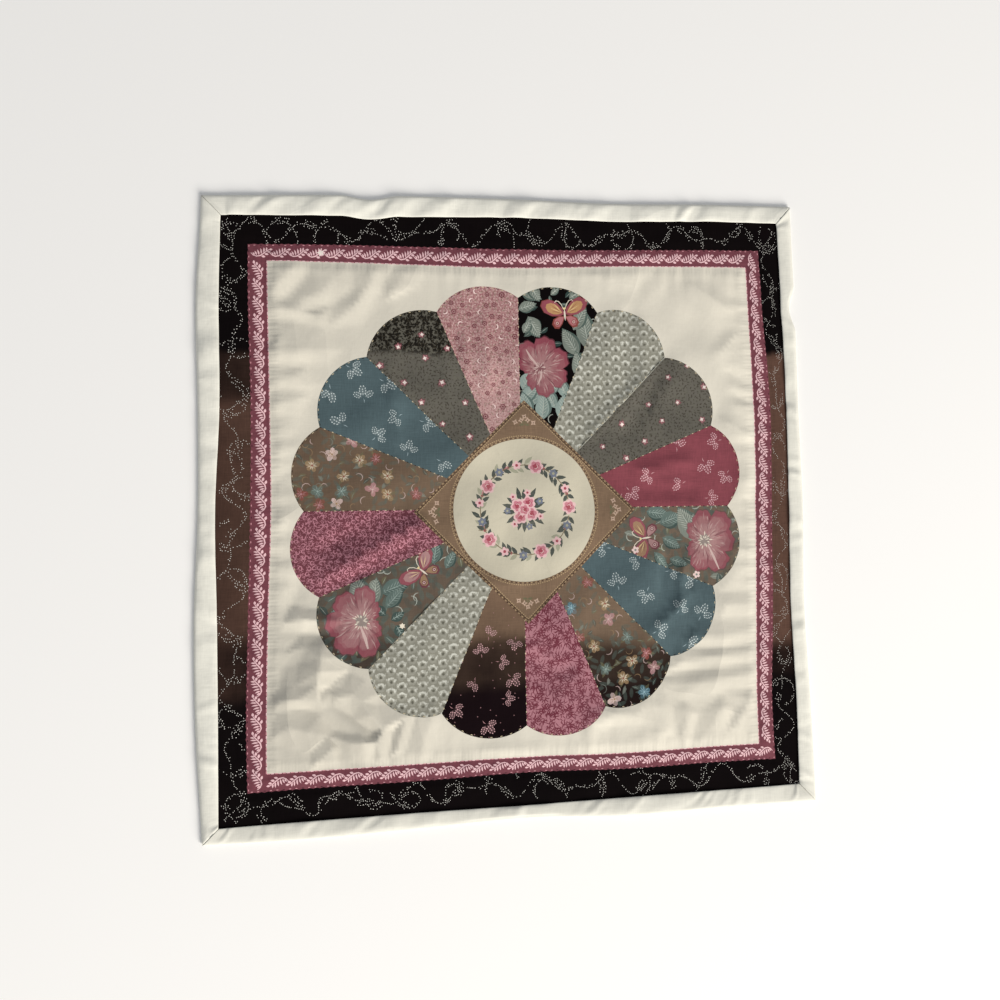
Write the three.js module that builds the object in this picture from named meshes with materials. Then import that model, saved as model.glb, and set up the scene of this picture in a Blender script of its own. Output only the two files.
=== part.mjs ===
// Quilted table topper: a printed, wadded and hand-quilted panel with a wide folded binding.
// Millimetres, +Z up. The origin is under the middle of the outline, on the surface it lies on.
// +X points to its right side and +Y to its top side.

import * as THREE from 'three';

// Driving dimensions
const HALF = 255; // half of the 20 in square that the topper was made to finish at
const PANEL_THICK = 1.9; // top, wadding and backing along a line of quilting
const PUFF = 0.7; // how much higher the wadding stands away from the quilting
const RIM_THICK = 1.4; // the same three layers pressed flat inside the binding
const BINDING_THICK = 0.8; // a cotton strip, doubled where its edge is turned under
const BACK_LEAF = 14; // width of the binding on the underside
const GAP = 0.3; // clear space between two pieces of cloth
const FOLD_DEPTH = 2.2; // from the binding's outer fold to the panel's raw edge
const RAMP = 9; // over this width the panel comes down from the binding's back leaf
const GROUND_HALF = 203.5; // half of the made square at the laurel band's inner line of quilting
const BAND_HALF = 218; // the same at its outer line of quilting
const QUILTED_REACH = 7; // how far the wadding is drawn down beside a line of quilting
const LEAF_CROWN = 0.25; // how much the binding's front leaf swells

// Heights that follow from the layers at the rim
const RIM_LIFT = BINDING_THICK + GAP; // underside of the panel on the binding's back leaf
const FRONT_Z = RIM_LIFT + RIM_THICK + GAP; // underside of the binding's front leaf
const TOP_Z = FRONT_Z + BINDING_THICK;

// How the four sides lie, at seven places along each, as distances from the middle of the printed
// plate. ground and band are the inner and outer lines of the laurel band, hem is the binding's
// inner edge, and fold is its outer fold.
const SIDES = {
  top: [
    { along: -255, ground: 200.9, band: 213.7, hem: 237.0, fold: 253.0 },
    { along: -170, ground: 201.6, band: 215.6, hem: 238.9, fold: 256.2 },
    { along: -85, ground: 201.0, band: 216.0, hem: 240.3, fold: 257.9 },
    { along: 0, ground: 200.4, band: 216.0, hem: 242.4, fold: 258.4 },
    { along: 85, ground: 203.6, band: 217.7, hem: 241.8, fold: 257.4 },
    { along: 170, ground: 205.4, band: 220.0, hem: 244.3, fold: 259.6 },
    { along: 255, ground: 205.9, band: 221.1, hem: 244.6, fold: 260.2 },
  ],
  right: [
    { along: -255, ground: 201.7, band: 216.0, hem: 234.7, fold: 250.2 },
    { along: -170, ground: 199.7, band: 213.4, hem: 234.6, fold: 248.2 },
    { along: -85, ground: 201.5, band: 216.8, hem: 232.2, fold: 245.2 },
    { along: 0, ground: 203.6, band: 218.6, hem: 233.2, fold: 246.8 },
    { along: 85, ground: 204.6, band: 220.0, hem: 233.6, fold: 245.4 },
    { along: 170, ground: 202.0, band: 214.9, hem: 231.9, fold: 245.0 },
    { along: 255, ground: 199.5, band: 211.9, hem: 229.4, fold: 243.4 },
  ],
  bottom: [
    { along: -255, ground: 206.3, band: 221.0, hem: 245.5, fold: 257.8 },
    { along: -170, ground: 205.2, band: 218.6, hem: 243.8, fold: 257.9 },
    { along: -85, ground: 204.2, band: 217.6, hem: 242.4, fold: 255.2 },
    { along: 0, ground: 203.0, band: 215.5, hem: 241.6, fold: 252.2 },
    { along: 85, ground: 204.0, band: 217.0, hem: 240.0, fold: 255.4 },
    { along: 170, ground: 202.4, band: 215.6, hem: 238.7, fold: 253.6 },
    { along: 255, ground: 202.1, band: 215.9, hem: 237.4, fold: 253.0 },
  ],
  left: [
    { along: -255, ground: 208.7, band: 222.7, hem: 245.6, fold: 258.3 },
    { along: -170, ground: 208.3, band: 224.0, hem: 245.2, fold: 262.3 },
    { along: -85, ground: 206.3, band: 221.8, hem: 245.3, fold: 263.0 },
    { along: 0, ground: 203.0, band: 219.3, hem: 246.0, fold: 259.4 },
    { along: 85, ground: 203.2, band: 218.0, hem: 242.0, fold: 258.8 },
    { along: 170, ground: 204.0, band: 219.3, hem: 241.9, fold: 259.7 },
    { along: 255, ground: 204.1, band: 218.7, hem: 239.8, fold: 255.0 },
  ],
};

// Short dips in a side: where, how far the hem and fold are drawn in, and half the dip's length
const DIPS = [
  { side: 'top', along: -121, hem: 2.6, fold: 3.4, half: 24 },
  { side: 'right', along: 168, hem: 0.6, fold: 5.0, half: 20 },
];

// Folds that lift the cloth: the ends of each, its rise and its half width
const FOLDS = [
  { name: 'lower left ridge', from: [-172, -146], to: [-127, -186], rise: 4.4, half: 12 },
  { name: 'lower left spur', from: [-170, -148], to: [-143, -133], rise: 3.2, half: 12 },
  { name: 'lower left tail', from: [-206, -157], to: [-172, -148], rise: 2.0, half: 12 },
  { name: 'lower left hem fold', from: [-130, -186], to: [-136, -208], rise: 1.8, half: 13 },
  { name: 'lower petal fold', from: [-116, -172], to: [-112, -198], rise: 1.6, half: 12 },
  { name: 'left waist fold', from: [-198, -96], to: [-162, -112], rise: 1.8, half: 14 },
  { name: 'left waist crease', from: [-196, -60], to: [-180, -88], rise: 1.4, half: 12 },
  { name: 'upper left bow', from: [-196, 166], to: [-122, 190], rise: 1.8, half: 15 },
  { name: 'upper left fold', from: [-172, 148], to: [-118, 176], rise: 1.6, half: 13 },
  { name: 'left shoulder fold', from: [-200, 112], to: [-166, 130], rise: 1.5, half: 13 },
  { name: 'left middle fold', from: [-200, 60], to: [-180, 84], rise: 1.4, half: 13 },
  { name: 'right waist fold', from: [182, 96], to: [200, 16], rise: 1.3, half: 15 },
  { name: 'lower right fold', from: [136, -156], to: [196, -148], rise: 1.6, half: 15 },
  { name: 'lower right crease', from: [112, -194], to: [128, -172], rise: 1.4, half: 12 },
  { name: 'lower right petal fold', from: [96, -132], to: [132, -84], rise: 1.0, half: 18 },
  { name: 'upper right petal fold', from: [92, 78], to: [150, 128], rise: 0.9, half: 18 },
];

// Grid lines of the panel from the middle out, close together where the folds are
const GRID = [12, 36, 60, 84, 106, 126, 142, 155, 167, 177, 187, 196, 203.5, 211, 218, 228, 237, 246, 255];

// The binding's section, from its front inner edge over the outer fold to its back inner edge.
// share is a part of the front leaf's width, and inward is millimetres in from the outer fold.
const SECTION = [
  { share: 1, z: TOP_Z - 0.15 },
  { share: 0.55, z: TOP_Z + LEAF_CROWN },
  { inward: 2.4, z: TOP_Z },
  { inward: 0.7, z: TOP_Z - 0.7 },
  { inward: 0, z: TOP_Z / 2 },
  { inward: 0.6, z: 0.4 },
  { inward: 1.8, z: 0 },
  { inward: BACK_LEAF, z: 0 },
  { inward: BACK_LEAF, z: BINDING_THICK },
  { inward: 2, z: BINDING_THICK },
  { inward: BINDING_THICK + 0.4, z: TOP_Z / 2 },
  { inward: 2, z: FRONT_Z },
  { share: 1, z: FRONT_Z },
];
const MITRE_REACH = 22; // length of the slanting stretch of a strip at each mitre

const mirrored = (lines) => [...lines].reverse().map((line) => -line).concat(lines);

const clamp = (x, low, high) => Math.min(Math.max(x, low), high);
const mix = (from, to, t) => from + (to - from) * t;

function smooth(low, high, x) {
  const t = clamp((x - low) / (high - low), 0, 1);
  return t * t * (3 - 2 * t);
}

// 1 in the middle, 0 from the half width out, round at the top and level at the foot
const hump = (distance, half) => (1 - clamp(distance / half, -1, 1) ** 2) ** 2;

// Distance of a side's line, on a smooth curve through the rows of SIDES
function sideAt(side, line, along) {
  const rows = SIDES[side];
  const step = rows[1].along - rows[0].along;
  const place = clamp((along - rows[0].along) / step, 0, rows.length - 1);
  const i = Math.min(Math.floor(place), rows.length - 2);
  const t = place - i;
  const at = (k) => rows[clamp(k, 0, rows.length - 1)][line];
  const [before, from, to, after] = [at(i - 1), at(i), at(i + 1), at(i + 2)];
  const slopeFrom = (to - before) / 2;
  const slopeTo = (after - from) / 2;
  const rise = to - from;
  let distance = from + t * slopeFrom;
  distance += t * t * (3 * rise - 2 * slopeFrom - slopeTo);
  distance += t * t * t * (slopeFrom + slopeTo - 2 * rise);
  for (const dip of DIPS) {
    if (dip.side === side) distance -= (dip[line] ?? 0) * hump(along - dip.along, dip.half);
  }
  return distance;
}

// Where a distance from the middle of the made square comes to lie on one side
function drawn(side, distance, along, inset) {
  const made = [0, GROUND_HALF, BAND_HALF, HALF];
  const laid = [0, ...['ground', 'band', 'fold'].map((line) => sideAt(side, line, along))];
  laid[3] -= inset;
  const i = made.filter((line) => line < Math.min(distance, HALF)).length - 1;
  const from = Math.max(i, 0);
  return mix(laid[from], laid[from + 1], (distance - made[from]) / (made[from + 1] - made[from]));
}

// Where a point of the made square comes to lie, with the outer fold drawn in by an inset
function lie(u, v, inset) {
  return [
    Math.sign(u) * drawn(u < 0 ? 'left' : 'right', Math.abs(u), v, inset),
    Math.sign(v) * drawn(v < 0 ? 'bottom' : 'top', Math.abs(v), u, inset),
  ];
}

// The point of the binding's inner edge that belongs to a point of its outer fold
function hemPoint(u, v) {
  const [x, y] = lie(u, v, 0);
  return [
    clamp(x, -sideAt('left', 'hem', v), sideAt('right', 'hem', v)),
    clamp(y, -sideAt('bottom', 'hem', u), sideAt('top', 'hem', u)),
  ];
}

// How far a point of the cloth lies inside the outer fold
function insideFold(u, v, x, y) {
  const acrossX = sideAt(u < 0 ? 'left' : 'right', 'fold', v) - Math.abs(x);
  const acrossY = sideAt(v < 0 ? 'bottom' : 'top', 'fold', u) - Math.abs(y);
  return Math.min(acrossX, acrossY);
}

function foldHeight(x, y) {
  let height = 0;
  for (const { from, to, rise, half } of FOLDS) {
    const run = [to[0] - from[0], to[1] - from[1]];
    const length = Math.hypot(run[0], run[1]);
    const along = ((x - from[0]) * run[0] + (y - from[1]) * run[1]) / length;
    const across = ((x - from[0]) * run[1] - (y - from[1]) * run[0]) / length;
    const ends = smooth(-half, half, along) * (1 - smooth(length - half, length + half, along));
    height += rise * ends * hump(across, half);
  }
  return height;
}

// Heights of the panel's underside and upper side
function panelHeights(u, v, x, y) {
  const square = Math.max(Math.abs(u), Math.abs(v));
  const free = smooth(BACK_LEAF + 1, BACK_LEAF + 1 + RAMP, insideFold(u, v, x, y));
  const rim = 1 - free;
  const toQuilting = Math.min(Math.abs(square - GROUND_HALF), Math.abs(square - BAND_HALF));
  const thick = PANEL_THICK + PUFF * (1 - hump(toQuilting, QUILTED_REACH));
  const underside = RIM_LIFT * rim + foldHeight(x, y) * free;
  return [underside, underside + RIM_THICK * rim + thick * free];
}

function clothMesh(name, points, triangles, colour) {
  const geometry = new THREE.BufferGeometry();
  geometry.setAttribute('position', new THREE.Float32BufferAttribute(points.flat(), 3));
  geometry.setIndex(triangles.flat());
  geometry.computeVertexNormals();
  const material = new THREE.MeshStandardMaterial({ color: colour, roughness: 0.9, metalness: 0 });
  const mesh = new THREE.Mesh(geometry, material);
  mesh.name = name;
  return mesh;
}

// The panel: an underside and an upper side on the same grid, joined round the rim
function quiltedPanel() {
  const lines = mirrored(GRID);
  const last = lines.length - 1;
  const points = [];
  for (const level of [0, 1]) {
    for (const v of lines) {
      for (const u of lines) {
        const [x, y] = lie(u, v, FOLD_DEPTH);
        points.push([x, y, panelHeights(u, v, x, y)[level]]);
      }
    }
  }
  const under = (i, j) => j * lines.length + i;
  const upper = (i, j) => lines.length ** 2 + under(i, j);
  const triangles = [];
  for (let j = 0; j < last; j += 1) {
    for (let i = 0; i < last; i += 1) {
      triangles.push([upper(i, j), upper(i + 1, j), upper(i + 1, j + 1)]);
      triangles.push([upper(i, j), upper(i + 1, j + 1), upper(i, j + 1)]);
      triangles.push([under(i, j), under(i + 1, j + 1), under(i + 1, j)]);
      triangles.push([under(i, j), under(i, j + 1), under(i + 1, j + 1)]);
    }
  }
  const rim = [];
  for (let k = 0; k < last; k += 1) rim.push([k, 0]);
  for (let k = 0; k < last; k += 1) rim.push([last, k]);
  for (let k = last; k > 0; k -= 1) rim.push([k, last]);
  for (let k = last; k > 0; k -= 1) rim.push([0, k]);
  rim.forEach((here, k) => {
    const next = rim[(k + 1) % rim.length];
    triangles.push([under(...here), under(...next), upper(...next)]);
    triangles.push([under(...here), upper(...next), upper(...here)]);
  });
  return clothMesh('quilted_panel', points, triangles, '#8f6a63');
}

// Turns a place on the top side to the same place on another side, going round clockwise
const ON_SIDE = {
  top: (along, away) => [along, away],
  right: (along, away) => [away, -along],
  bottom: (along, away) => [-along, -away],
  left: (along, away) => [-away, along],
};

// One side's strip: the section is carried from mitre to mitre on the panel's own grid lines, and
// each mitre runs from the outer corner to the corner of the inner edge
function bindingStrip(side) {
  const place = ON_SIDE[side];
  const stations = mirrored([...GRID.filter((line) => line < HALF - MITRE_REACH), HALF]);
  const clearance = (GAP / 2) * Math.SQRT2;
  const points = [];
  for (const station of stations) {
    const [u, v] = place(station, HALF);
    const outer = lie(u, v, 0);
    const inner = hemPoint(u, v);
    const [shiftX, shiftY] = Math.abs(station) === HALF ? place(-Math.sign(station) * clearance, 0) : [0, 0];
    const width = Math.max(Math.abs(outer[0] - inner[0]), Math.abs(outer[1] - inner[1]));
    for (const { share, inward, z } of SECTION) {
      const t = share ?? inward / width;
      points.push([mix(outer[0], inner[0], t) + shiftX, mix(outer[1], inner[1], t) + shiftY, z]);
    }
  }
  const count = SECTION.length;
  const triangles = [];
  for (let s = 0; s < stations.length - 1; s += 1) {
    for (let k = 0; k < count; k += 1) {
      const next = (k + 1) % count;
      const here = s * count;
      const ahead = here + count;
      triangles.push([here + k, ahead + k, ahead + next]);
      triangles.push([here + k, ahead + next, here + next]);
    }
  }
  const flat = SECTION.map(({ share, inward, z }) => new THREE.Vector2(share ? -17 * share : -inward, z));
  const end = (stations.length - 1) * count;
  for (const [a, b, c] of THREE.ShapeUtils.triangulateShape(flat, [])) {
    triangles.push([a, c, b]);
    triangles.push([end + a, end + b, end + c]);
  }
  return clothMesh(`binding_${side}`, points, triangles, '#e3e0d2');
}

const topper = new THREE.Group();
topper.add(quiltedPanel());
for (const side of Object.keys(ON_SIDE)) topper.add(bindingStrip(side));

// The cloth is laid out round the middle of its print, and moved to stand over the origin
const middle = new THREE.Box3().setFromObject(topper).getCenter(new THREE.Vector3());
topper.position.set(-middle.x, -middle.y, 0);

export default topper;
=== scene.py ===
"""Quilted table topper: a printed, wadded and hand-quilted panel in a wide folded binding."""

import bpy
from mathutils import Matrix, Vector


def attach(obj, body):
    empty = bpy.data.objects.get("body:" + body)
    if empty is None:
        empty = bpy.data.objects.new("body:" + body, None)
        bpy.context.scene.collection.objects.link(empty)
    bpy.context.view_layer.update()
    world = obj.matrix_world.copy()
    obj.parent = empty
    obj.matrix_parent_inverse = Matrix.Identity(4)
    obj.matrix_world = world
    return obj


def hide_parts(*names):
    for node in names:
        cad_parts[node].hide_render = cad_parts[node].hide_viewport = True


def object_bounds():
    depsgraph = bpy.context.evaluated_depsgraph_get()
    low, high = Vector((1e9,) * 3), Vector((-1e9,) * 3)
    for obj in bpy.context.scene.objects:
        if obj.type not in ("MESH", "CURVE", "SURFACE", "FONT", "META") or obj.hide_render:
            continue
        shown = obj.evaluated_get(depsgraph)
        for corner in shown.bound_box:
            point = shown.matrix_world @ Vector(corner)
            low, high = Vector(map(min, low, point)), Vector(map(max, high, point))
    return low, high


bl_info = {
    "name": "Quilted Table Topper",
    "version": (1, 0, 0),
    "blender": (4, 5, 0),
    "location": "3D View > Sidebar > Topper",
    "description": "Dresses the packed solids of a table topper in printed cotton",
    "category": "Object",
}

import math
import random
from functools import partial

import bpy
import numpy as np
from bpy.props import FloatProperty, FloatVectorProperty, PointerProperty
from mathutils import Matrix, Vector
from mathutils.geometry import delaunay_2d_cdt, tessellate_polygon

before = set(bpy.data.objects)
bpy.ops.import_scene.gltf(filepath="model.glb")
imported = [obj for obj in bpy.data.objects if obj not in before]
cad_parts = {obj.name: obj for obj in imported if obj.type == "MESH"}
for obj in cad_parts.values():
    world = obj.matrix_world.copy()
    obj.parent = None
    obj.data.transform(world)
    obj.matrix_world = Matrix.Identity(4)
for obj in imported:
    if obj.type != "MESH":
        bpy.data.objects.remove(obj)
CAD_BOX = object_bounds()

# ---- Sizes of the solids, in millimetres ----

MM = 0.001
HALF = 255.0  # half of the square that the topper was made to finish at
PANEL_THICK = 1.9  # top, wadding and backing along a line of quilting
PUFF = 0.7  # how much higher the wadding stands away from the quilting
RIM_THICK = 1.4  # the same layers pressed flat inside the binding
BINDING_THICK = 0.8  # a cotton strip, doubled where its edge is turned under
BACK_LEAF = 14.0  # width of the binding on the underside
GAP = 0.3  # clear space between two pieces of cloth
FOLD_DEPTH = 2.2  # from the binding's outer fold to the panel's raw edge
RAMP = 9.0  # over this width the panel comes down from the binding's back leaf
GROUND_HALF = 203.5  # half of the made square at the laurel band's inner line of quilting
BAND_HALF = 218.0  # the same at its outer line of quilting
QUILTED_REACH = 7.0  # how far the wadding is drawn down beside a line of quilting
LEAF_CROWN = 0.25  # how much the binding's front leaf swells
MITRE_REACH = 22.0  # length of the slanting stretch of a strip at each mitre
RIM_LIFT = BINDING_THICK + GAP
FRONT_Z = RIM_LIFT + RIM_THICK + GAP
TOP_Z = FRONT_Z + BINDING_THICK

# How the four sides lie, at seven places along each, as distances from the middle of the print
SIDES = {
    "top": {
        "ground": (200.9, 201.6, 201.0, 200.4, 203.6, 205.4, 205.9),
        "band": (213.7, 215.6, 216.0, 216.0, 217.7, 220.0, 221.1),
        "hem": (237.0, 238.9, 240.3, 242.4, 241.8, 244.3, 244.6),
        "fold": (253.0, 256.2, 257.9, 258.4, 257.4, 259.6, 260.2),
    },
    "right": {
        "ground": (201.7, 199.7, 201.5, 203.6, 204.6, 202.0, 199.5),
        "band": (216.0, 213.4, 216.8, 218.6, 220.0, 214.9, 211.9),
        "hem": (234.7, 234.6, 232.2, 233.2, 233.6, 231.9, 229.4),
        "fold": (250.2, 248.2, 245.2, 246.8, 245.4, 245.0, 243.4),
    },
    "bottom": {
        "ground": (206.3, 205.2, 204.2, 203.0, 204.0, 202.4, 202.1),
        "band": (221.0, 218.6, 217.6, 215.5, 217.0, 215.6, 215.9),
        "hem": (245.5, 243.8, 242.4, 241.6, 240.0, 238.7, 237.4),
        "fold": (257.8, 257.9, 255.2, 252.2, 255.4, 253.6, 253.0),
    },
    "left": {
        "ground": (208.7, 208.3, 206.3, 203.0, 203.2, 204.0, 204.1),
        "band": (222.7, 224.0, 221.8, 219.3, 218.0, 219.3, 218.7),
        "hem": (245.6, 245.2, 245.3, 246.0, 242.0, 241.9, 239.8),
        "fold": (258.3, 262.3, 263.0, 259.4, 258.8, 259.7, 255.0),
    },
}
SIDE_STEP = 85.0

# Short dips in a side: where, how far the hem and fold are drawn in, half the dip's length
DIPS = (
    {"side": "top", "along": -121, "hem": 2.6, "fold": 3.4, "half": 24},
    {"side": "right", "along": 168, "hem": 0.6, "fold": 5.0, "half": 20},
)

# Folds that lift the cloth: its ends, its rise and its half width. The solids have them too.
FOLDS = (
    ((-172, -146), (-127, -186), 4.4, 12),  # lower left ridge
    ((-170, -148), (-143, -133), 3.2, 12),  # lower left spur
    ((-206, -157), (-172, -148), 2.0, 12),  # lower left tail
    ((-130, -186), (-136, -208), 1.8, 13),  # lower left hem fold
    ((-116, -172), (-112, -198), 1.6, 12),  # lower petal fold
    ((-198, -96), (-162, -112), 1.8, 14),  # left waist fold
    ((-196, -60), (-180, -88), 1.4, 12),  # left waist crease
    ((-196, 166), (-122, 190), 1.8, 15),  # upper left bow
    ((-172, 148), (-118, 176), 1.6, 13),  # upper left fold
    ((-200, 112), (-166, 130), 1.5, 13),  # left shoulder fold
    ((-200, 60), (-180, 84), 1.4, 13),  # left middle fold
    ((182, 96), (200, 16), 1.3, 15),  # right waist fold
    ((136, -156), (196, -148), 1.6, 15),  # lower right fold
    ((112, -194), (128, -172), 1.4, 12),  # lower right crease
    ((96, -132), (132, -84), 1.0, 18),  # lower right petal fold
    ((92, 78), (150, 128), 0.9, 18),  # upper right petal fold
)

# Finer creases that only the cloth has: soft ridges, and troughs where the rise is negative
CREASES = (
    ((-203, 46), (-188, 50), 0.6, 7), ((-204, 22), (-190, 30), -0.6, 6),
    ((-205, -14), (-190, -6), 0.7, 7), ((-206, -34), (-188, -38), -0.7, 6),
    ((-181, -58), (-193, -84), -1.0, 7), ((-40, -196), (10, -200), 0.5, 8),
    ((178, -36), (204, -40), 0.7, 8), ((188, 18), (203, -20), 0.6, 7),
    ((175, 74), (202, 58), 0.8, 8), ((179, 116), (203, 104), -0.7, 7),
    ((150, 190), (188, 166), 0.8, 9), ((122, 204), (98, 178), -0.6, 9),
    ((60, 196), (96, 190), 0.4, 8), ((190, 148), (170, 128), 0.8, 8),
    ((205, 88), (184, 96), -0.8, 6), ((205, 2), (190, 6), -0.8, 6),
    # across the petals
    ((113, -102), (150, -68), 0.8, 7), ((86, 58), (128, 115), -0.6, 6),
    ((57, 58), (102, 104), 0.6, 6), ((-168, -56), (-82, -10), 1.2, 9),
    ((-170, -34), (-112, -2), -1.1, 7), ((-160, -64), (-100, -34), -0.9, 6),
    ((-108, 122), (-104, 84), 0.7, 7), ((137, -48), (133, -98), 1.0, 6),
    ((122, -40), (118, -88), -0.8, 6), ((118, 112), (92, 58), -1.0, 7),
    ((150, 40), (96, 30), 0.7, 8), ((150, 12), (104, 14), -0.7, 7),
    ((-24, -112), (14, -116), 0.7, 7), ((0, -138), (40, -132), -0.8, 7),
    ((-54, 150), (-50, 96), -0.7, 7), ((-30, 160), (-26, 100), 0.6, 8),
    ((-120, -57), (-92, -28), -0.6, 6), ((-100, 96), (-104, 52), 0.5, 8),
    ((96, 170), (92, 96), -0.5, 7), ((106, 160), (110, 96), 0.5, 7),
    ((-40, -60), (30, -64), 0.3, 7),
)

# Where the ground is most crumpled: for each corner how blunt its creases are, then its crease
# lines, as points with a height. The cloth bends along them and lies flat between them. The first
# lines of a corner, of height 0, are the foot that runs round it.
CRUMPLES = (
    (
        1.3,  # lower left
        ((-207, -76, 0), (-207, -108, 0), (-207, -150, 0), (-207, -180, 0), (-207, -207, 0)),
        ((-179, -208, 0), (-149, -208, 0), (-112, -207, 0), (-87, -206, 0), (-52, -205, 0)),
        ((-190, -74, 0), (-166, -78, 0), (-146, -88, 0), (-120, -104, 0), (-95, -124, 0)),
        ((-73, -148, 0), (-55, -174, 0)), ((-194, -88, 1.5), (-178, -86, 4.5), (-164, -87, 3.6)),
        ((-197, -97, 0.1), (-180, -97, 0), (-162, -98, 0)),
        ((-194, -112, 1.8), (-178, -107, 3.6), (-164, -107, 4.5), (-152, -107, 1.8)),
        ((-197, -124, 0.5), (-184, -121, 2.4)),
        ((-166, -116, 6.9), (-167, -127, 8.4), (-169, -137, 6.6)),
        ((-163, -143, 0.1), (-154, -137, 0), (-143, -128, 0.1), (-143, -116, 1.5)),
        ((-152, -148, 4.1), (-141, -146, 5.1), (-130, -135, 2.4)),
        ((-199, -140, 0.6), (-186, -137, 2.4)),
        ((-199, -150, 2.4), (-182, -148, 3.9), (-168, -150, 3.6)),
        (
            (-201, -158, 0.1), (-182, -156, 0), (-162, -158, -1.1), (-143, -168, -1.1),
            (-126, -178, -0.9),
        ),
        ((-134, -152, 5.1), (-127, -163, 5.4), (-117, -174, 3.9)),
        ((-122, -155, 1.8), (-104, -153, 0.9)), ((-120, -146, 2.6), (-106, -145, 1.5)),
        ((-143, -184, 3.9), (-133, -184, 5.4), (-123, -184, 3.9)),
        ((-142, -201, -0.9), (-126, -202, -0.9)), ((-192, -170, 2.6), (-176, -174, 3.3)),
        ((-190, -188, 0.1), (-174, -190, 0.5), (-161, -178, 0.3)),
        ((-168, -197, 2.6), (-157, -188, 2.4)), ((-153, -202, 0), (-152, -188, 0.1)),
        ((-117, -186, 2.6), (-119, -199, 1.8)), ((-109, -176, 0.3), (-113, -198, 0)),
        ((-99, -166, 2.5), (-107, -192, 1.8)), ((-90, -164, 0.6), (-100, -195, 0.1)),
        ((-79, -170, 1.5), (-87, -194, 1.4)), ((-71, -168, 0.3), (-75, -195, 0.1)),
    ),
    (
        2.2,  # lower right
        ((204, -39, 0), (204, -88, 0), (204, -138, 0), (204, -178, 0), (203, -208, 0)),
        ((179, -210, 0), (138, -211, 0), (97, -211, 0), (66, -210, 0), (36, -209, 0)),
        ((179, -43, 0), (165, -74, 0), (148, -96, 0), (132, -118, 0), (107, -144, 0)),
        ((81, -160, 0), (48, -170, 0)), ((183, -59, 1.4), (197, -63, 0.5)),
        ((179, -73, 0.2), (198, -74, 0)), ((173, -84, 2.0), (198, -84, 1.4)),
        ((167, -96, 0.2), (199, -94, 0)), ((144, -110, 2.5), (169, -111, 2.5), (199, -106, 1.1)),
        ((140, -119, 0.2), (169, -120, 0.2), (199, -117, 0)),
        ((132, -131, 2.4), (158, -127, 2.6), (199, -123, 1.2)),
        ((128, -139, 0.2), (158, -137, 0.2), (199, -133, 0)),
        ((124, -148, 1.8), (148, -148, 2.5), (198, -142, 1.4)),
        ((117, -156, 0.2), (134, -162, 0.2), (169, -158, 0.2), (198, -154, 0)),
        ((101, -164, 2.2), (115, -168, 2.4), (119, -186, 1.7)),
        ((125, -168, 0.2), (126, -190, 0.2)), ((74, -172, 2.4), (93, -173, 2.0)),
        ((72, -182, 0), (97, -183, 0.2)), ((138, -172, 2.6), (132, -192, 2.0)),
        ((148, -174, 0.2), (142, -195, 0.2)), ((169, -169, 2.4), (156, -188, 1.4)),
        ((179, -172, 0), (169, -192, 0.2)), ((193, -164, 2.2), (179, -186, 1.7)),
        ((197, -178, 0.2), (189, -195, 0.2)), ((54, -180, 1.4), (58, -195, 1.2)),
        ((64, -184, 0.2), (81, -196, 0.4)), ((101, -192, 1.4), (109, -198, 1.0)),
    ),
    (
        2.3,  # upper left
        ((-207, 59, 0), (-207, 91, 0), (-207, 131, 0), (-207, 171, 0), (-207, 209, 0)),
        ((-179, 207, 0), (-138, 206, 0), (-98, 205, 0), (-71, 204, 0)),
        ((-81, 184, 0), (-110, 169, 0), (-128, 151, 0), (-143, 131, 0), (-159, 117, 0)),
        ((-167, 95, 0), (-171, 61, 0)), ((-202, 178, 2.8), (-191, 188, 3.4), (-180, 201, 2.2)),
        ((-190, 171, 0), (-177, 184, 0.2), (-169, 200, 0.2)),
        ((-177, 170, 1.7), (-161, 176, 2.4), (-151, 190, 1.5)),
        ((-169, 162, 0.3), (-151, 167, 0.2), (-138, 178, 0.2), (-132, 196, 0.2)),
        ((-202, 164, 2.1), (-181, 161, 2.4), (-163, 157, 1.7)),
        ((-204, 154, 0), (-181, 152, 0), (-159, 147, 0.3)), ((-194, 143, 1.7), (-173, 137, 1.9)),
        ((-203, 129, 3.2), (-183, 128, 3.5), (-167, 129, 2.1)),
        ((-204, 117, 0), (-186, 116, 0), (-171, 118, 0.2)), ((-200, 105, 1.7), (-183, 108, 1.9)),
        ((-202, 96, 0.2), (-183, 97, 0.2)), ((-200, 85, 2.2), (-183, 89, 1.9)),
        ((-202, 74, 0), (-179, 77, 0.2)), ((-136, 165, 2.4), (-124, 182, 2.6), (-116, 196, 1.5)),
        ((-122, 167, 0.3), (-112, 180, 0.2), (-104, 196, 0.2)),
        ((-104, 178, 1.9), (-93, 195, 1.5)),
    ),
)
BLUNT_STEPS = 8  # how many places round a point its height is the mean of

# How the fine relief is put together, in millimetres or as shares
HEM_CLEAR = (0.5, 12.0)  # it grows over this stretch, in from the hem
PLATE_EDGE = (146.0, 176.0)  # from the middle, where the printed plate gives way to the ground
CORNER_EDGE = (50.0, 90.0)  # from the middle lines, where the corners begin
CALM_EDGE = 40.0  # all but the upper right one, which lies smooth
CREASE_RISE, CREASE_ON_PLATE, CREASE_WIDEN = 1.7, 1.5, 1.35
CREST_BLUNT, CREST_POWER = 0.004, 1.35  # how round a crease's top is, how hollow its sides
SWELL_RISE, SWELL_ON_PLATE, SWELL_SIZE = 0.5, 0.8, 66
SMALL_SWELL_RISE, SMALL_SWELL_SIZE = 0.25, 31
GATHER_RISE, GATHER_SIZE, GATHER_LINE, GATHER_HALF = 0.3, 15, 199.0, 30.0
FOLD_CREST, FOLD_CREST_WIDEN = 0.3, 1.4  # how sharp the folds are outside the corners
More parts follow.
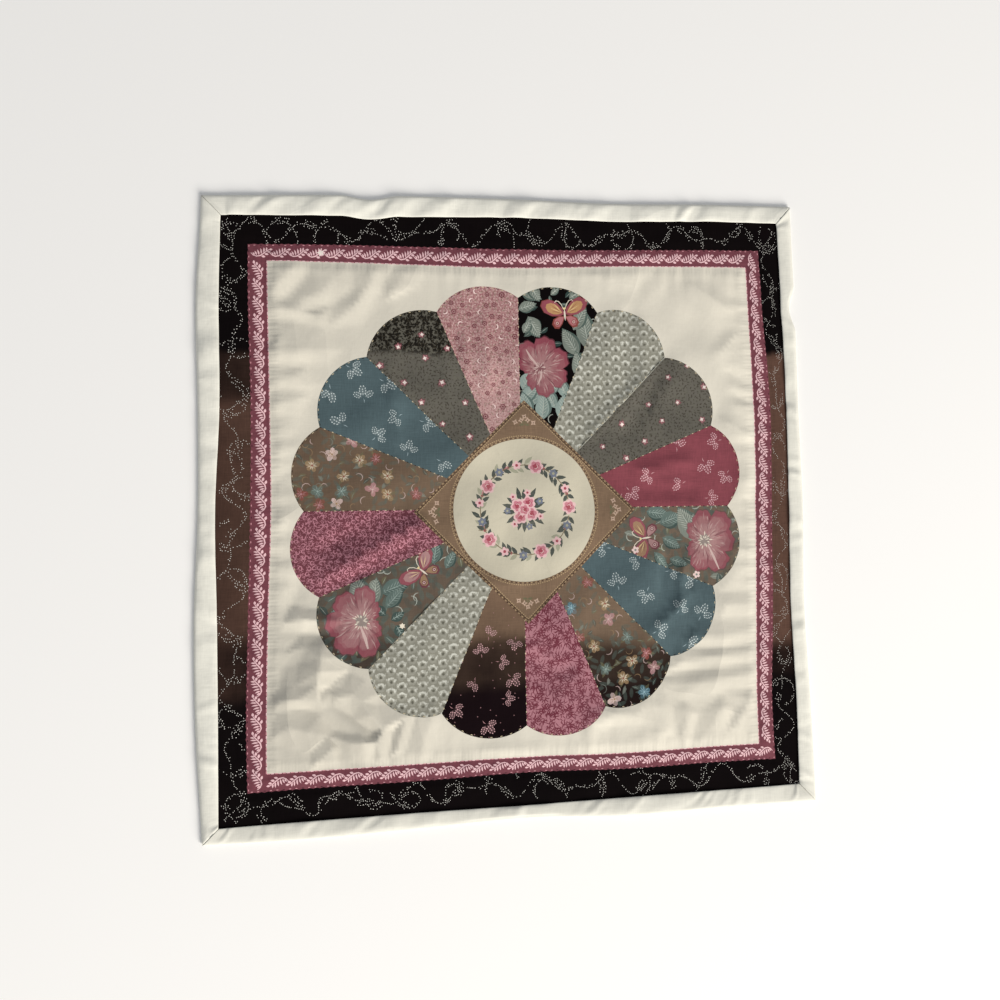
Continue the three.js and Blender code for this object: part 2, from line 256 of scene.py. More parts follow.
CORNER_CALM, CORNER_FOLDS = 0.55, 0.75  # in the corners crumples take the place of other relief
QUILTED_CALM = 0.35  # the stitches hold the cloth down
DEEPEST = 1.4  # no trough goes deeper, or it would meet the underside
UNDER_SHARE = 0.9  # how much of a rise the underside follows

# Where the cloth has faded, as slanting edges: place on the left side and on the right side,
# how much the colour changes there going up, on the left and on the right, and how soft it is
FADE_EDGES = (
    (-146, -146, 0.3, 0.16, 8),
    (-98, -116, 0.26, 0.9, 12),
    (91, 91, -0.3, 0.0, 7),
    (130, 130, -0.26, -1.04, 4),
)


def smooth(low, high, x):
    """0 below low, 1 above high, and level at both ends"""
    t = np.clip((x - low) / (high - low), 0, 1)
    return t * t * (3 - 2 * t)


def hump(distance, half):
    """1 in the middle, 0 from the half width out, round at the top and level at the foot"""
    return (1 - np.clip(distance / half, -1, 1) ** 2) ** 2


def side_at(side, line, along):
    """Distance of a side's line from the middle, on a smooth curve through its seven places"""
    rows = np.array(SIDES[side][line])
    last = len(rows) - 1
    place = np.clip((along + HALF) / SIDE_STEP, 0, last)
    i = np.minimum(place.astype(int), last - 1)
    t = place - i
    before, start, end, after = (rows[np.clip(i + k, 0, last)] for k in (-1, 0, 1, 2))
    slope_start, slope_end, rise = (end - before) / 2, (after - start) / 2, end - start
    distance = start + t * slope_start + t**2 * (3 * rise - 2 * slope_start - slope_end)
    distance = distance + t**3 * (slope_start + slope_end - 2 * rise)
    for dip in DIPS:
        if dip["side"] == side:
            distance = distance - dip.get(line, 0) * hump(along - dip["along"], dip["half"])
    return distance


def drawn(side, distance, along, inset):
    """Where a distance from the middle of the made square comes to lie on one side"""
    ground, band, fold = (side_at(side, line, along) for line in ("ground", "band", "fold"))
    fold = fold - inset
    inner = distance / GROUND_HALF * ground
    middle = ground + (distance - GROUND_HALF) / (BAND_HALF - GROUND_HALF) * (band - ground)
    outer = band + (distance - BAND_HALF) / (HALF - BAND_HALF) * (fold - band)
    return np.where(distance < GROUND_HALF, inner, np.where(distance < BAND_HALF, middle, outer))


def lie(u, v, inset):
    """Where points of the made square come to lie, with the outer fold drawn in by an inset"""
    u, v = np.asarray(u, float), np.asarray(v, float)
    x = np.where(u < 0, -drawn("left", -u, v, inset), drawn("right", u, v, inset))
    y = np.where(v < 0, -drawn("bottom", -v, u, inset), drawn("top", v, u, inset))
    return x, y


def hem_point(u, v):
    """The point of the binding's inner edge that belongs to a point of its outer fold"""
    x, y = lie(u, v, 0)
    x = np.clip(x, -side_at("left", "hem", v), side_at("right", "hem", v))
    y = np.clip(y, -side_at("bottom", "hem", u), side_at("top", "hem", u))
    return x, y


def inside(line, u, v, x, y):
    """How far points of the cloth lie inside one of the square lines"""
    line_x = np.where(u < 0, side_at("left", line, v), side_at("right", line, v))
    line_y = np.where(v < 0, side_at("bottom", line, u), side_at("top", line, u))
    return np.minimum(line_x - np.abs(x), line_y - np.abs(y))


def crest(distance, half):
    """Nearly 1 in the middle, where it bends tightly, and 0 from the half width out"""
    t = np.clip(np.sqrt((distance / half) ** 2 + CREST_BLUNT), 0, 1)
    return (1 - t) ** CREST_POWER


def ridges(rows, x, y, shape=hump, widen=1.0):
    """Height of a table of soft ridges and troughs"""
    height = np.zeros_like(x)
    for start, end, rise, half in rows:
        run_x, run_y = end[0] - start[0], end[1] - start[1]
        length = math.hypot(run_x, run_y)
        along = ((x - start[0]) * run_x + (y - start[1]) * run_y) / length
        across = ((x - start[0]) * run_y - (y - start[1]) * run_x) / length
        ends = smooth(-half, half, along) * (1 - smooth(length - half, length + half, along))
        height += rise * ends * shape(across, half * widen)
    return height


def planes(lines, blunt, x, y):
    """Height of cloth that lies in flat planes between crease lines, blunt where they meet"""
    spots, edges = [], []
    for line in lines:
        edges += [(len(spots) + k, len(spots) + k + 1) for k in range(len(line) - 1)]
        spots += line
    flat = [Vector(spot[:2]) for spot in spots]
    flat, _, faces, origin, _, _ = delaunay_2d_cdt(flat, edges, [], 0, 1e-6, True)
    rise = [np.mean([spots[k][2] for k in came]) for came in origin]
    total = np.zeros_like(x)
    for step in range(BLUNT_STEPS):
        reach, turn = blunt * (0.5 + 0.5 * (step % 2)), math.tau * step / BLUNT_STEPS
        px, py = x + reach * math.cos(turn), y + reach * math.sin(turn)
        for a, b, c in faces:
            (ax, ay), (bx, by), (cx, cy) = flat[a], flat[b], flat[c]
            area = (bx - ax) * (cy - ay) - (cx - ax) * (by - ay)
            s = ((px - ax) * (cy - ay) - (cx - ax) * (py - ay)) / area
            t = ((bx - ax) * (py - ay) - (px - ax) * (by - ay)) / area
            within = (s >= 0) & (t >= 0) & (s + t < 1)
            total += within * (rise[a] + (rise[b] - rise[a]) * s + (rise[c] - rise[a]) * t)
    return total / BLUNT_STEPS


def crumples(x, y):
    """Height of the crumpled corners"""
    total = np.zeros_like(x)
    for blunt, *lines in CRUMPLES:
        spots = np.array([spot[:2] for line in lines for spot in line])
        (left, low), (right, high) = spots.min(0) - blunt, spots.max(0) + blunt
        near = (x > left) & (x < right) & (y > low) & (y < high)
        total[near] = planes(lines, blunt, x[near], y[near])
    return total


def undulation(x, y, size, seed, waves=9):
    """Gentle unevenness, about one high, whose swells are about a size apart"""
    chance = random.Random(seed)
    total = np.zeros_like(x)
    for _ in range(waves):
        turn, phase = chance.uniform(0, math.tau), chance.uniform(0, math.tau)
        pitch = math.tau / size * chance.uniform(0.7, 1.4)
        total += np.sin((x * math.cos(turn) + y * math.sin(turn)) * pitch + phase)
    return total / math.sqrt(waves)


def gathers(x, y):
    """Folds that run in from the lines of quilting, where the stitches draw the cloth up"""
    total = np.zeros_like(x)
    for across, along, seed in ((x, y, 31), (y, x, 34)):
        beside = hump(np.abs(across) - GATHER_LINE, GATHER_HALF)
        beside = beside * smooth(GROUND_HALF + 8, 180, np.abs(along))  # not past the corners
        total += beside * undulation(across * 0.22, along, GATHER_SIZE, seed)
    return total


def panel_heights(u, v, x, y, lift):
    """Heights of the panel's underside and upper side"""
    free = smooth(BACK_LEAF + 1, BACK_LEAF + 1 + RAMP, inside("fold", u, v, x, y))
    rim = 1 - free
    square = np.maximum(np.abs(u), np.abs(v))
    to_quilting = np.minimum(np.abs(square - GROUND_HALF), np.abs(square - BAND_HALF))
    drawn_down = hump(to_quilting, QUILTED_REACH)
    thick = PANEL_THICK + PUFF * (1 - drawn_down)
    clear = smooth(*HEM_CLEAR, inside("hem", u, v, x, y))
    plate = 1 - smooth(*PLATE_EDGE, np.hypot(u, v))
    corner = smooth(*CORNER_EDGE, np.abs(x)) * smooth(*CORNER_EDGE, np.abs(y)) * (1 - plate)
    corner = corner * (1 - smooth(0, CALM_EDGE, x) * smooth(0, CALM_EDGE, y))
    folds = ridges(FOLDS, x, y)
    sharper = ridges(FOLDS, x, y, crest, FOLD_CREST_WIDEN) - folds
    creases = ridges(CREASES, x, y, crest, CREASE_WIDEN)
    fine = (CREASE_RISE + CREASE_ON_PLATE * plate) * creases + GATHER_RISE * gathers(x, y)
    swells = (SWELL_RISE + SWELL_ON_PLATE * plate) * undulation(x, y, SWELL_SIZE, 3)
    swells = swells + SMALL_SWELL_RISE * undulation(x, y, SMALL_SWELL_SIZE, 8)
    fine = (fine + swells) * (1 - CORNER_CALM * corner)
    fine = fine + crumples(x, y) - CORNER_FOLDS * corner * folds
    fine = fine + FOLD_CREST * (1 - corner) * sharper
    fine = fine * lift * clear * (1 - QUILTED_CALM * drawn_down)
    fine = np.where(fine < 0, DEEPEST * np.tanh(fine / DEEPEST), fine)
    underside = RIM_LIFT * rim + folds * free
    upper = underside + RIM_THICK * rim + thick * free + fine
    return underside + np.maximum(fine, 0) * UNDER_SHARE, upper


# ---- Colours ----


def linear(code):
    """The linear colour of an sRGB hex value"""
    parts = [int(code[i : i + 2], 16) / 255 for i in (1, 3, 5)]
    flat = [p / 12.92 if p <= 0.04045 else ((p + 0.055) / 1.055) ** 2.4 for p in parts]
    return (*flat, 1.0)


INKS = {
    "laurel pink": "#EBC4C9", "edge pink": "#D49AA2", "edge dark": "#3A1820",
    "vine white": "#EDEBE4", "thread light": "#CDBFA0", "thread dark": "#2C2620",
    "arch white": "#CFD0C6", "arch dot": "#55544A", "charcoal leaf": "#65635A",
    "charcoal dark": "#383329", "blossom pink": "#BC8C90", "blossom dark": "#7A3C48",
    "blossom white": "#EBDFD8", "crimson sprig": "#D8ACB0", "slate sprig": "#A9BCC2",
    "slate light": "#CBD6D6", "plum sprig": "#BE9094", "leaf burgundy": "#6A2C3A",
    "swirl pink": "#C68A98", "ring burgundy": "#6B2E38", "curl cream": "#EAD0CC",
    "rose": "#944F5B", "rose deep": "#6B3943", "rose pale": "#B08C8B", "rose light": "#D0B6B1",
    "fern grey": "#838B82", "fern light": "#BCC3B9", "fern dark": "#55645E", "teal": "#62746F",
    "teal light": "#98A9A3", "teal deep": "#3A4D4A", "gold": "#C09A68", "gold light": "#E8D09A",
    "wing pink": "#B8787E", "cream": "#E9E0CE", "olive": "#6C6A50", "brick": "#8A4A44",
    "tan": "#A08564", "blue": "#5F8796", "blue light": "#A9CAD4", "hub blossom": "#CDB29F",
    "hub dots": "#AE9774", "hub line": "#3E2C1E", "posy leaf": "#3F4743",
    "posy pale leaf": "#A3A38D", "posy rose": "#C67A8A", "posy rose light": "#E6BDC0",
    "posy heart": "#A23A50", "posy blue": "#6B7386", "posy stem": "#7A6B52", "worn": "#F1E6DE",
}


# ---- The print: outlines of cloth and ink in the made square, in millimetres ----

PETALS = 16
PETAL_TURN = 360 / PETALS
HUB_CENTRE = (3.0, -2.0)
MEDALLION_CENTRE = (2.0, -1.0)
RAY_START = 70.0  # where the stitches between two petals begin, under the hub
BORDER_LINE = 229.5  # middle of the black border's printed vines
BORDER_EDGE = 241.0  # and how far out they reach, under the binding
VINE_STEP = 1.55  # from dot to dot along a vine
DOT_ROOM = 1.3  # no two dots stand closer
STEMS, STEM_LENGTH = 12, 40.0  # on each side, stretches of a stem that meanders
CURLS, CURL_PITCH = 13, 36.0  # on each side, curls that spring from it
LAUREL_REACH = GROUND_HALF + BAND_HALF - 4.5  # length of the laurel along one side
LAUREL_START = 3.2 - BAND_HALF
LAUREL_LINE = (GROUND_HALF + BAND_HALF) / 2 - 0.9
WREATH = 37.5  # radius of the wreath of roses

# Each petal's cloth and how far its end bulges beyond the line between its notches
PETAL_ROWS = (
    ("chintz black", 15.0), ("arches", 17.0), ("charcoal", 16.5), ("crimson", 17.0),
    ("chintz brown", 16.5), ("slate", 16.5), ("brown floral", 16.0), ("pink leaf", 15.5),
    ("plum", 15.0), ("arches", 16.5), ("chintz brown", 16.5), ("rose swirl", 16.5),
    ("brown floral", 16.0), ("slate", 16.0), ("charcoal", 15.0), ("dusty pink", 15.5),
)
EDGE_LINES = {2: "arch white", 10: "thread dark"}  # lines beside a petal's starting edge


def placed(points, at=(0, 0), turn=0.0, size=1.0):
    """Points turned by degrees, scaled and moved to a place"""
    angle = math.radians(turn)
    points = np.asarray(points, float) * size
    x = points[:, 0] * math.cos(angle) - points[:, 1] * math.sin(angle) + at[0]
    y = points[:, 0] * math.sin(angle) + points[:, 1] * math.cos(angle) + at[1]
    return np.stack([x, y], 1)


class Print:
    """Outlines in printing order: each starts a patch of cloth, or is ink that stays on one."""

    def __init__(self):
        self.outlines, self.cloths, self.inks, self.homes = [], [], [], []
        self.home = None
        self.dots = np.zeros((0, 2))

    def note(self, points, cloth, ink, home):
        self.outlines.append(np.asarray(points, float))
        self.cloths.append(cloth)
        self.inks.append(ink)
        self.homes.append(home)

    def patch(self, cloth, points):
        """Starts a patch of cloth, where the ink that follows stays"""
        self.note(points, cloth, None, None)
        self.home = len(self.outlines) - 1
        return self.home

    def ink(self, name, points, cover=1.0, anywhere=False):
        ink = (*linear(INKS[name])[:3], cover)
        self.note(points, None, ink, None if anywhere else self.home)

    def brush(self, at, turn=0.0, size=1.0):
        """A function that inks outlines in a figure's own frame, each leaning and at a spot"""

        def put(name, shape, cover=1.0, lean=0.0, spot=None):
            where = at if spot is None else placed([spot], at, turn, size)[0]
            self.ink(name, placed(shape, where, turn + lean, size), cover)

        return put

    def room(self, spot):
        """Whether a dot may stand at a place, apart from all dots before it, and notes it"""
        if len(self.dots) and np.hypot(*(self.dots - spot).T).min() < DOT_ROOM:
            return False
        self.dots = np.vstack([self.dots, spot])
        return True


def ring_points(angle, reach, squash=1.0):
    return np.stack([reach * np.cos(angle), reach * squash * np.sin(angle)], 1)


def leaf(length, width, steps=2, bow=0.0):
    """A pointed leaf from its stalk at the middle along +X"""
    t = np.arange(1, steps + 1) / (steps + 1)
    half = width / 2 * np.sin(np.pi * t**0.85)
    middle = bow * np.sin(np.pi * t)
    upper = np.stack([length * t, middle + half], 1)
    lower = np.stack([length * t, middle - half], 1)
    return np.concatenate([[(0, 0)], lower, [(length, 0)], upper[::-1]])


def disc(radius, corners=6, squash=1.0):
    return ring_points(np.arange(corners) * math.tau / corners, radius, squash)


def blossom(radius, petals=5, depth=0.3, steps=3):
    """A round flower with a notch between its petals"""
    angle = np.arange(petals * steps) * math.tau / (petals * steps)
    return ring_points(angle, radius * (1 - depth * np.abs(np.cos(angle * petals / 2)) ** 3))


def stroke(path, width, taper=0.25):
    """A brush line along a path, thickest in its middle"""
    path = np.asarray(path, float)
    run = np.gradient(path, axis=0)
    run /= np.linalg.norm(run, axis=1, keepdims=True)
    side = np.stack([-run[:, 1], run[:, 0]], 1)
    t = np.linspace(0, 1, len(path))
    half = (width / 2 * (taper + (1 - taper) * np.sin(np.pi * t)))[:, None]
    return np.concatenate([path - side * half, (path + side * half)[::-1]])


def arc(centre, radius, start, end, steps):
    """Points on an arc, between angles in degrees"""
    angle = np.radians(np.linspace(start, end, steps))
    return np.stack([centre[0] + radius * np.cos(angle), centre[1] + radius * np.sin(angle)], 1)


def square_ring(half):
    """A square's corners, with the first again at the end"""
    return [(-half, -half), (half, -half), (half, half), (-half, half), (-half, -half)]


def polar(turn, reach):
    """A point by its clock angle in degrees from the top, and its distance from the middle"""
    angle = math.radians(turn)
    return np.array([reach * math.sin(angle), reach * math.cos(angle)])


def in_petal(number, u, v, sizes, spare):
    """Whether a place is in a petal, or within spare of it, and well outside the hub"""
    if abs(u - HUB_CENTRE[0]) + abs(v - HUB_CENTRE[1]) < sizes["hub"] - spare:
        return False
    reach = math.hypot(u, v)
    off = (math.degrees(math.atan2(u, v)) - (number + 0.5) * PETAL_TURN + 180) % 360 - 180
    edge = sizes["petal"] * math.cos(math.radians(PETAL_TURN / 2)) + PETAL_ROWS[number][1]
    across = math.radians(abs(off)) * reach
    half = math.radians(PETAL_TURN / 2) * reach
    shoulder = edge - max(across - half * 0.35, 0) * 0.55  # its round end falls off sideways
    return across < half + spare and reach < shoulder + spare


def scatter(number, sizes, pitch, seed, spare, jitter):
    """Uneven places in a petal, on a staggered grid"""
    chance = random.Random(seed)
    places = []
    rows = int(200 / pitch) + 1
    for j in range(-rows, rows + 1):
        for i in range(-rows, rows + 1):
            u = (i + 0.5 * (j % 2) + chance.uniform(-jitter, jitter)) * pitch
            v = (j + chance.uniform(-jitter, jitter)) * pitch
            if in_petal(number, u, v, sizes, spare):
                places.append((u, v))
    return places, chance


def petal_outline(number, sizes):
    """A petal from the middle to its notches, with a round end between them"""
    first, last = (polar(k * PETAL_TURN, sizes["petal"]) for k in (number, number + 1))
    half = np.linalg.norm(last - first) / 2
    bulge = PETAL_ROWS[number][1]
    radius = (half**2 + bulge**2) / (2 * bulge)
    middle = (first + last) / 2
    centre = middle + middle / np.linalg.norm(middle) * (bulge - radius)
    a, b = (math.degrees(math.atan2(*(end - centre)[::-1])) for end in (first, last))
    return np.concatenate([[(0, 0)], arc(centre, radius, a, b - 360 if b > a else b, 22)])


def along_path(path):
    """A path's length, and a function that gives its point at a distance along it"""
    path = np.asarray(path, float)
    far = np.concatenate([[0], np.cumsum(np.linalg.norm(np.diff(path, axis=0), axis=1))])
    return far[-1], lambda at: np.array([np.interp(at, far, path[:, k]) for k in (0, 1)])


def dashes(sheet, path, length, space, width, names, shift=0.0):
    """Printed stitches along a path, in its inks by turns"""
    whole, point = along_path(path)
    place, count = space / 2, 0
    while place + length < whole:
        ends = np.array([point(place), point(place + length)])
        run = ends[1] - ends[0]
        side = np.array([-run[1], run[0]]) / max(np.hypot(*run), 1e-6)
        start, end = ends + side * shift
        half = side * width / 2
        quad = [start - half, end - half, end + half, start + half]
        sheet.ink(names[count % len(names)], quad, anywhere=True)
        place += length + space
        count += 1


# ---- Small motifs ----


def lace_leaf(sheet, light, at, turn, size):
    """A leaf drawn in dots on a thin haze: two bowed rows and a row of three between them"""
    put = sheet.brush(at, turn, size)
    put(light, leaf(7.0, 4.4), 0.15)
    for side in (-1, 0, 1):
        for k in range(4 if side else 3):
            bow = 1.75 * side * math.sin(math.pi * (k + 0.8) / 5)
            spot = (1.0 + 1.45 * k + 0.5 * abs(side), bow)
            put(light, leaf(1.25, 0.75, 1), 1.0, side * (52 - 26 * k), spot)


def sprig(sheet, name, light, at, turn, size, heads):
    """Lacy leaves that lean apart from one stalk"""
    for lean, share in ((-58, 0.95), (2, 1.08), (60, 0.9))[:heads]:
        base = placed([(1.0, 0)], at, turn + lean, size)[0]
        lace_leaf(sheet, light, base, turn + lean, size * share)
    sheet.ink(name, placed(leaf(3.6, 0.6, 1, 0.3), at, turn + 184, size), 0.8)


def small_blossom(sheet, at, turn, size):
    """A pink blossom: an uneven dark ring, pale petals and a white heart"""
    put = sheet.brush(at, turn, size)
    put("blossom dark", leaf(5.0, 1.3, 1), 0.6, 205)
    put("blossom dark", blossom(3.7, 5, 0.3, 2), 0.6)
    put("blossom pink", blossom(2.9, 5, 0.35, 2), 0.8, 6)
    put("blossom dark", blossom(2.1, 5, 0.3, 2), 0.6, 30)
    put("blossom white", blossom(1.9, 4, 0.4, 2), spot=(0.3, 0.5))


# The running laurel's stem, and its leaves: place, heading and length
LAUREL_STEM = (
    (-0.8, 0.6), (0.9, -1.5), (3.4, -2.6), (6.2, -2.0), (8.8, 0.1), (11.2, 2.3), (13.2, 3.5),
)
LAUREL_COMB = (
    (1.9, -1.7, 120, 2.9), (3.5, -1.9, 112, 4.3), (5.2, -1.7, 104, 5.2),
    (6.9, -0.8, 96, 5.3), (8.6, 0.6, 88, 4.7), (10.3, 2.2, 80, 3.3),
)
LAUREL_OVALS = (
    (6.9, -2.3, -16, 3.3), (9.2, -0.5, -10, 3.4), (11.2, 1.4, -4, 3.0), (12.7, 3.3, 6, 2.9),
)


def laurel_unit(sheet, start, turn, length):
    """One branch of the running laurel: a comb of strokes outwards, ovals inwards"""
    k = length / 14.0

    def put(points):
        sheet.ink("laurel pink", placed(placed(points, (start, LAUREL_LINE)), turn=turn))

    put(stroke([(u * k, v) for u, v in LAUREL_STEM], 1.0, 0.5))
    for rows, width, bow in ((LAUREL_COMB, 1.35, -0.3), (LAUREL_OVALS, 2.0, 0.0)):
        for u, v, heading, reach in rows:
            put(placed(leaf(reach, width, 2, bow), (u * k, v), heading))


def vine(sheet, path, chance):
    """A vine of fine dots along a path, thicker where twigs of dots stand beside it"""
    whole, point_at = along_path(path)
    start = chance.uniform(0.0, 0.7) * whole
    end = start + chance.uniform(5, 11)
    side = chance.choice((-1, 1))
    for at in np.arange(0.6, whole, VINE_STEP):
        point = point_at(at)
        turn = math.degrees(math.atan2(*(point_at(at + 1) - point)[::-1]))
        if not BAND_HALF + 1 < np.abs(point).max() < BORDER_EDGE:
            continue
        spots = [(chance.uniform(-0.4, 0.4), chance.uniform(-0.4, 0.4))]
        if chance.random() < 0.35:  # now and then a second row
            spots.append((chance.uniform(-0.9, 0.9), side * chance.uniform(1.0, 1.7)))
        if start < at < end:  # the twigs, on both sides
            spots.append((chance.uniform(-0.9, 0.9), -side * chance.uniform(1.1, 2.2)))
            spots.append((chance.uniform(-0.9, 0.9), side * chance.uniform(2.2, 3.4)))
        for where in placed(spots, point, turn):
            if sheet.room(where):
                dot = placed(disc(chance.uniform(0.4, 0.56), 3), where, chance.uniform(0, 120))
                sheet.ink("vine white", dot, chance.uniform(0.65, 1.0))


# ---- Petals ----

CHARCOAL_BLOSSOMS = {
    2: (
        (145, 119), (128, 109), (159, 101), (110, 86), (136, 88), (157, 73), (121, 72), (86, 70),
        (106, 55), (69, 51), (89, 41),
    ),
    14: (
        (-81, 145), (-100, 135), (-60, 134), (-78, 126), (-115, 119), (-96, 105), (-65, 105),
        (-82, 89), (-46, 89), (-65, 71), (-43, 60), (-28, 73),
    ),
}
SPRIG_PLACES = {
    3: (
        (110, 27), (138, 19), (158, 37), (178, 27), (170, 55), (133, 50), (161, 7), (92, 14),
        (150, 68), (84, 8),
    ),
    5: (
        (71, -34), (99, -44), (126, -54), (80, -65), (106, -71), (149, -64), (133, -87),
        (153, -93), (113, -104), (140, -116),
    ),
    8: (
        (-21, -125), (-41, -140), (-17, -155), (-59, -161), (-33, -175), (-30, -104), (-8, -108),
        (-36, -118), (-12, -138),
    ),
    13: (
        (-139, 117), (-155, 99), (-129, 92), (-112, 106), (-101, 77), (-146, 70), (-120, 60),
        (-80, 73), (-94, 48), (-67, 40),
    ),
}
# Each cloth's sprigs: ink of the stalk, ink of the leaves, and size
SPRIG_INKS = {
    "crimson": ("crimson sprig", "laurel pink", 1.15),
    "slate": ("slate sprig", "slate light", 1.2),
    "plum": ("plum sprig", "crimson sprig", 1.05),
}
BROWN_FLOWERS = {
    6: (
        (40, -83, "blue"), (69, -80, "tan"), (72, -93, "pink"), (54, -62, "rose"),
        (46, -107, "rose"), (88, -108, "teal"), (69, -134, "teal"), (84, -142, "tan"),
        (111, -134, "pink"), (102, -154, "blue"), (76, -159, "cream"), (59, -115, "tan"),
        (104, -122, "rose"), (92, -128, "tan"),
    ),
    12: (
        (-155, 46, "cream"), (-171, 37, "tan"), (-146, 28, "tan"), (-120, 42, "rose"),
        (-133, 41, "tan"), (-111, 28, "tan"), (-148, 16, "teal"), (-123, 17, "pink"),
        (-167, 16, "teal"), (-180, 14, "rose"), (-111, 13, "tan"), (-88, 13, "rose"),
        (-139, 57, "pink"), (-152, 6, "cream"), (-166, 5, "rose"),
    ),
}
# Inks of those flowers' petals and of the streaks on them
FLOWER_INKS = {
    "rose": ("brick", "blossom pink"), "pink": ("blossom pink", "rose light"),
    "teal": ("teal", "teal light"), "blue": ("blue", "blue light"),
    "tan": ("tan", "cream"), "cream": ("curl cream", "tan"),
}


def print_charcoal(sheet, number, sizes):
    """Pink blossoms, over the cloth's own small leaves"""
    chance = random.Random(number + 40)
    for at in CHARCOAL_BLOSSOMS[number]:
        small_blossom(sheet, at, chance.uniform(0, 360), chance.uniform(0.8, 1.05))


def print_sprigs(sheet, number, sizes):
    """Lacy sprigs in the places of the table, leaning every way, every fourth without a leaf"""
    name, light, size = SPRIG_INKS[PETAL_ROWS[number][0]]
    chance = random.Random(number + 7)
    for k, at in enumerate(SPRIG_PLACES[number]):
        turn = chance.uniform(0, 360)
        sprig(sheet, name, light, at, turn, size * chance.uniform(0.9, 1.1), 3 - (k % 4 == 1))


def print_dusty_pink(sheet, number, sizes):
    """Burgundy rings and cream curls, over the cloth's own specks"""
    places, chance = scatter(number, sizes, 9.6, 21, 2, 0.22)
    for k, at in enumerate(places):
        turn = chance.uniform(0, 360)
        if k % 3 == 2:
            bend = arc((0, 0), 2.0, turn, turn + 170, 5)
            sheet.ink("ring burgundy", stroke(bend * 0.8 + at, 2.0, 0.3), 0.6)
            sheet.ink("curl cream", stroke(bend + at, 1.2, 0.3))
        else:
            put = sheet.brush(at, turn, chance.uniform(0.8, 1.25))
            put("ring burgundy", blossom(2.3, 6, 0.2, 2), 0.8)
            put("rose pale", disc(1.2), 0.9)
            put("ring burgundy", disc(0.7, 5))


def small_flower(sheet, at, kind, chance):
    """Three bracts, four or five loose petals with two streaks each, and a heart"""
    turn = chance.uniform(0, 360)
    outer, streak = FLOWER_INKS[kind]
    for k in range(3):
        bract = placed(leaf(8.0, 3.0, 2), at, turn + k * 118)
        sheet.ink(chance.choice(("olive", "fern dark")), bract, 0.55)
    petals = chance.choice((4, 5, 5))
    for k in range(petals):
        angle = turn + k * 360 / petals + chance.uniform(-14, 14)
        base = placed([(chance.uniform(2.4, 3.4), 0)], at, angle)[0]
        petal = placed(disc(2.7, 7, 0.75), base, angle, chance.uniform(0.9, 1.3))
        sheet.ink(outer, petal, chance.uniform(0.4, 0.75))
        for lean in (-20, 16):
            inner = leaf(chance.uniform(3.4, 5.4), 0.8, 1)
            inner = placed(inner, at, angle + lean + chance.uniform(-6, 6))
            sheet.ink(streak, inner, chance.uniform(0.35, 0.85))
    sheet.ink("brick" if kind == "tan" else streak, placed(disc(0.9, 5), at), 0.9)


def print_brown_floral(sheet, number, sizes):
    """Small many-coloured flowers, leaves and curls, painted loosely"""
    places, chance = scatter(number, sizes, 9.4, number + 60, 1, 0.4)
    for at in places:
        turn = chance.uniform(0, 360)
        if chance.random() < 0.55:
            name = chance.choice(("fern dark", "olive", "teal deep", "fern grey"))
            length = chance.uniform(5.0, 9.0)
            sheet.ink(name, placed(leaf(length, 3.2, 2, 0.6), at, turn), 0.5)
            sheet.ink("fern grey", placed(leaf(length * 0.8, 0.7, 1, 0.5), at, turn), 0.6)
        else:
            bend = arc((0, 0), chance.uniform(2.2, 3.8), turn, turn + chance.uniform(120, 220), 6)
            name = chance.choice(("tan", "curl cream", "fern grey"))
            sheet.ink(name, stroke(bend + at, 0.8, 0.3), 0.45)
    for *at, kind in BROWN_FLOWERS[number]:
        small_flower(sheet, at, kind, chance)


# Inks of the big leaves: body, veins and shaded edge
FERNS = ("fern grey", "fern light", "fern dark")
TEALS = ("teal", "teal light", "teal deep")
PALE_TEALS = ("teal light", "fern light", "teal")
DEEP_TEALS = ("teal deep", "teal light", "teal deep")
BITS = ("fern dark", "teal deep", "olive", "fern grey")


def veined_leaf(sheet, at, turn, length, width, names=FERNS):
    """A broad leaf with a light midrib and fine side veins, dark along one edge"""
    body, vein, shade = names
    put = sheet.brush(at, turn)
    put(shade, leaf(length * 1.04, width * 1.12, 5, -width * 0.06))
    put(body, leaf(length, width, 6, width * 0.06), 0.9)
    put(shade, leaf(length * 0.9, width * 0.4, 3, -width * 0.16), 0.35)
    put(vein, leaf(length * 0.94, 0.8, 1), 0.9)
    count = max(4, round(length / 2.6))
    for k in range(1, count):
        reach = width * 0.56 * math.sin(math.pi * k / (count + 0.4))
        for side in (-1, 1):
            put(vein, leaf(reach, 0.6, 1), 0.75, side * 44, (length * k / (count + 0.4), 0))


def behind(angle):
    """How far a heading in degrees points to the flower's short side, from 0 to 1"""
    return float(smooth(95, 180, min(angle % 360, 360 - angle % 360)))


def ruffled(radius, sizes):
    """Outline of a big flower seen from its side: one lobe for each size, short behind"""
    outline = []
    steps, lobes = 70, len(sizes)
    for k in range(steps):
        angle = 360 * k / steps
        lobe = abs(math.sin(math.pi * lobes * (k + 5) / steps)) ** 0.55
        reach = sizes[(k + 5) * lobes // steps % lobes] * (0.78 + 0.19 * lobe)
        reach = radius * (reach * (1 - 0.5 * behind(angle)) + 0.03 * math.sin(k * 1.9))
        angle = math.radians(angle)
        outline.append((reach * math.cos(angle), reach * math.sin(angle)))
    return np.array(outline)


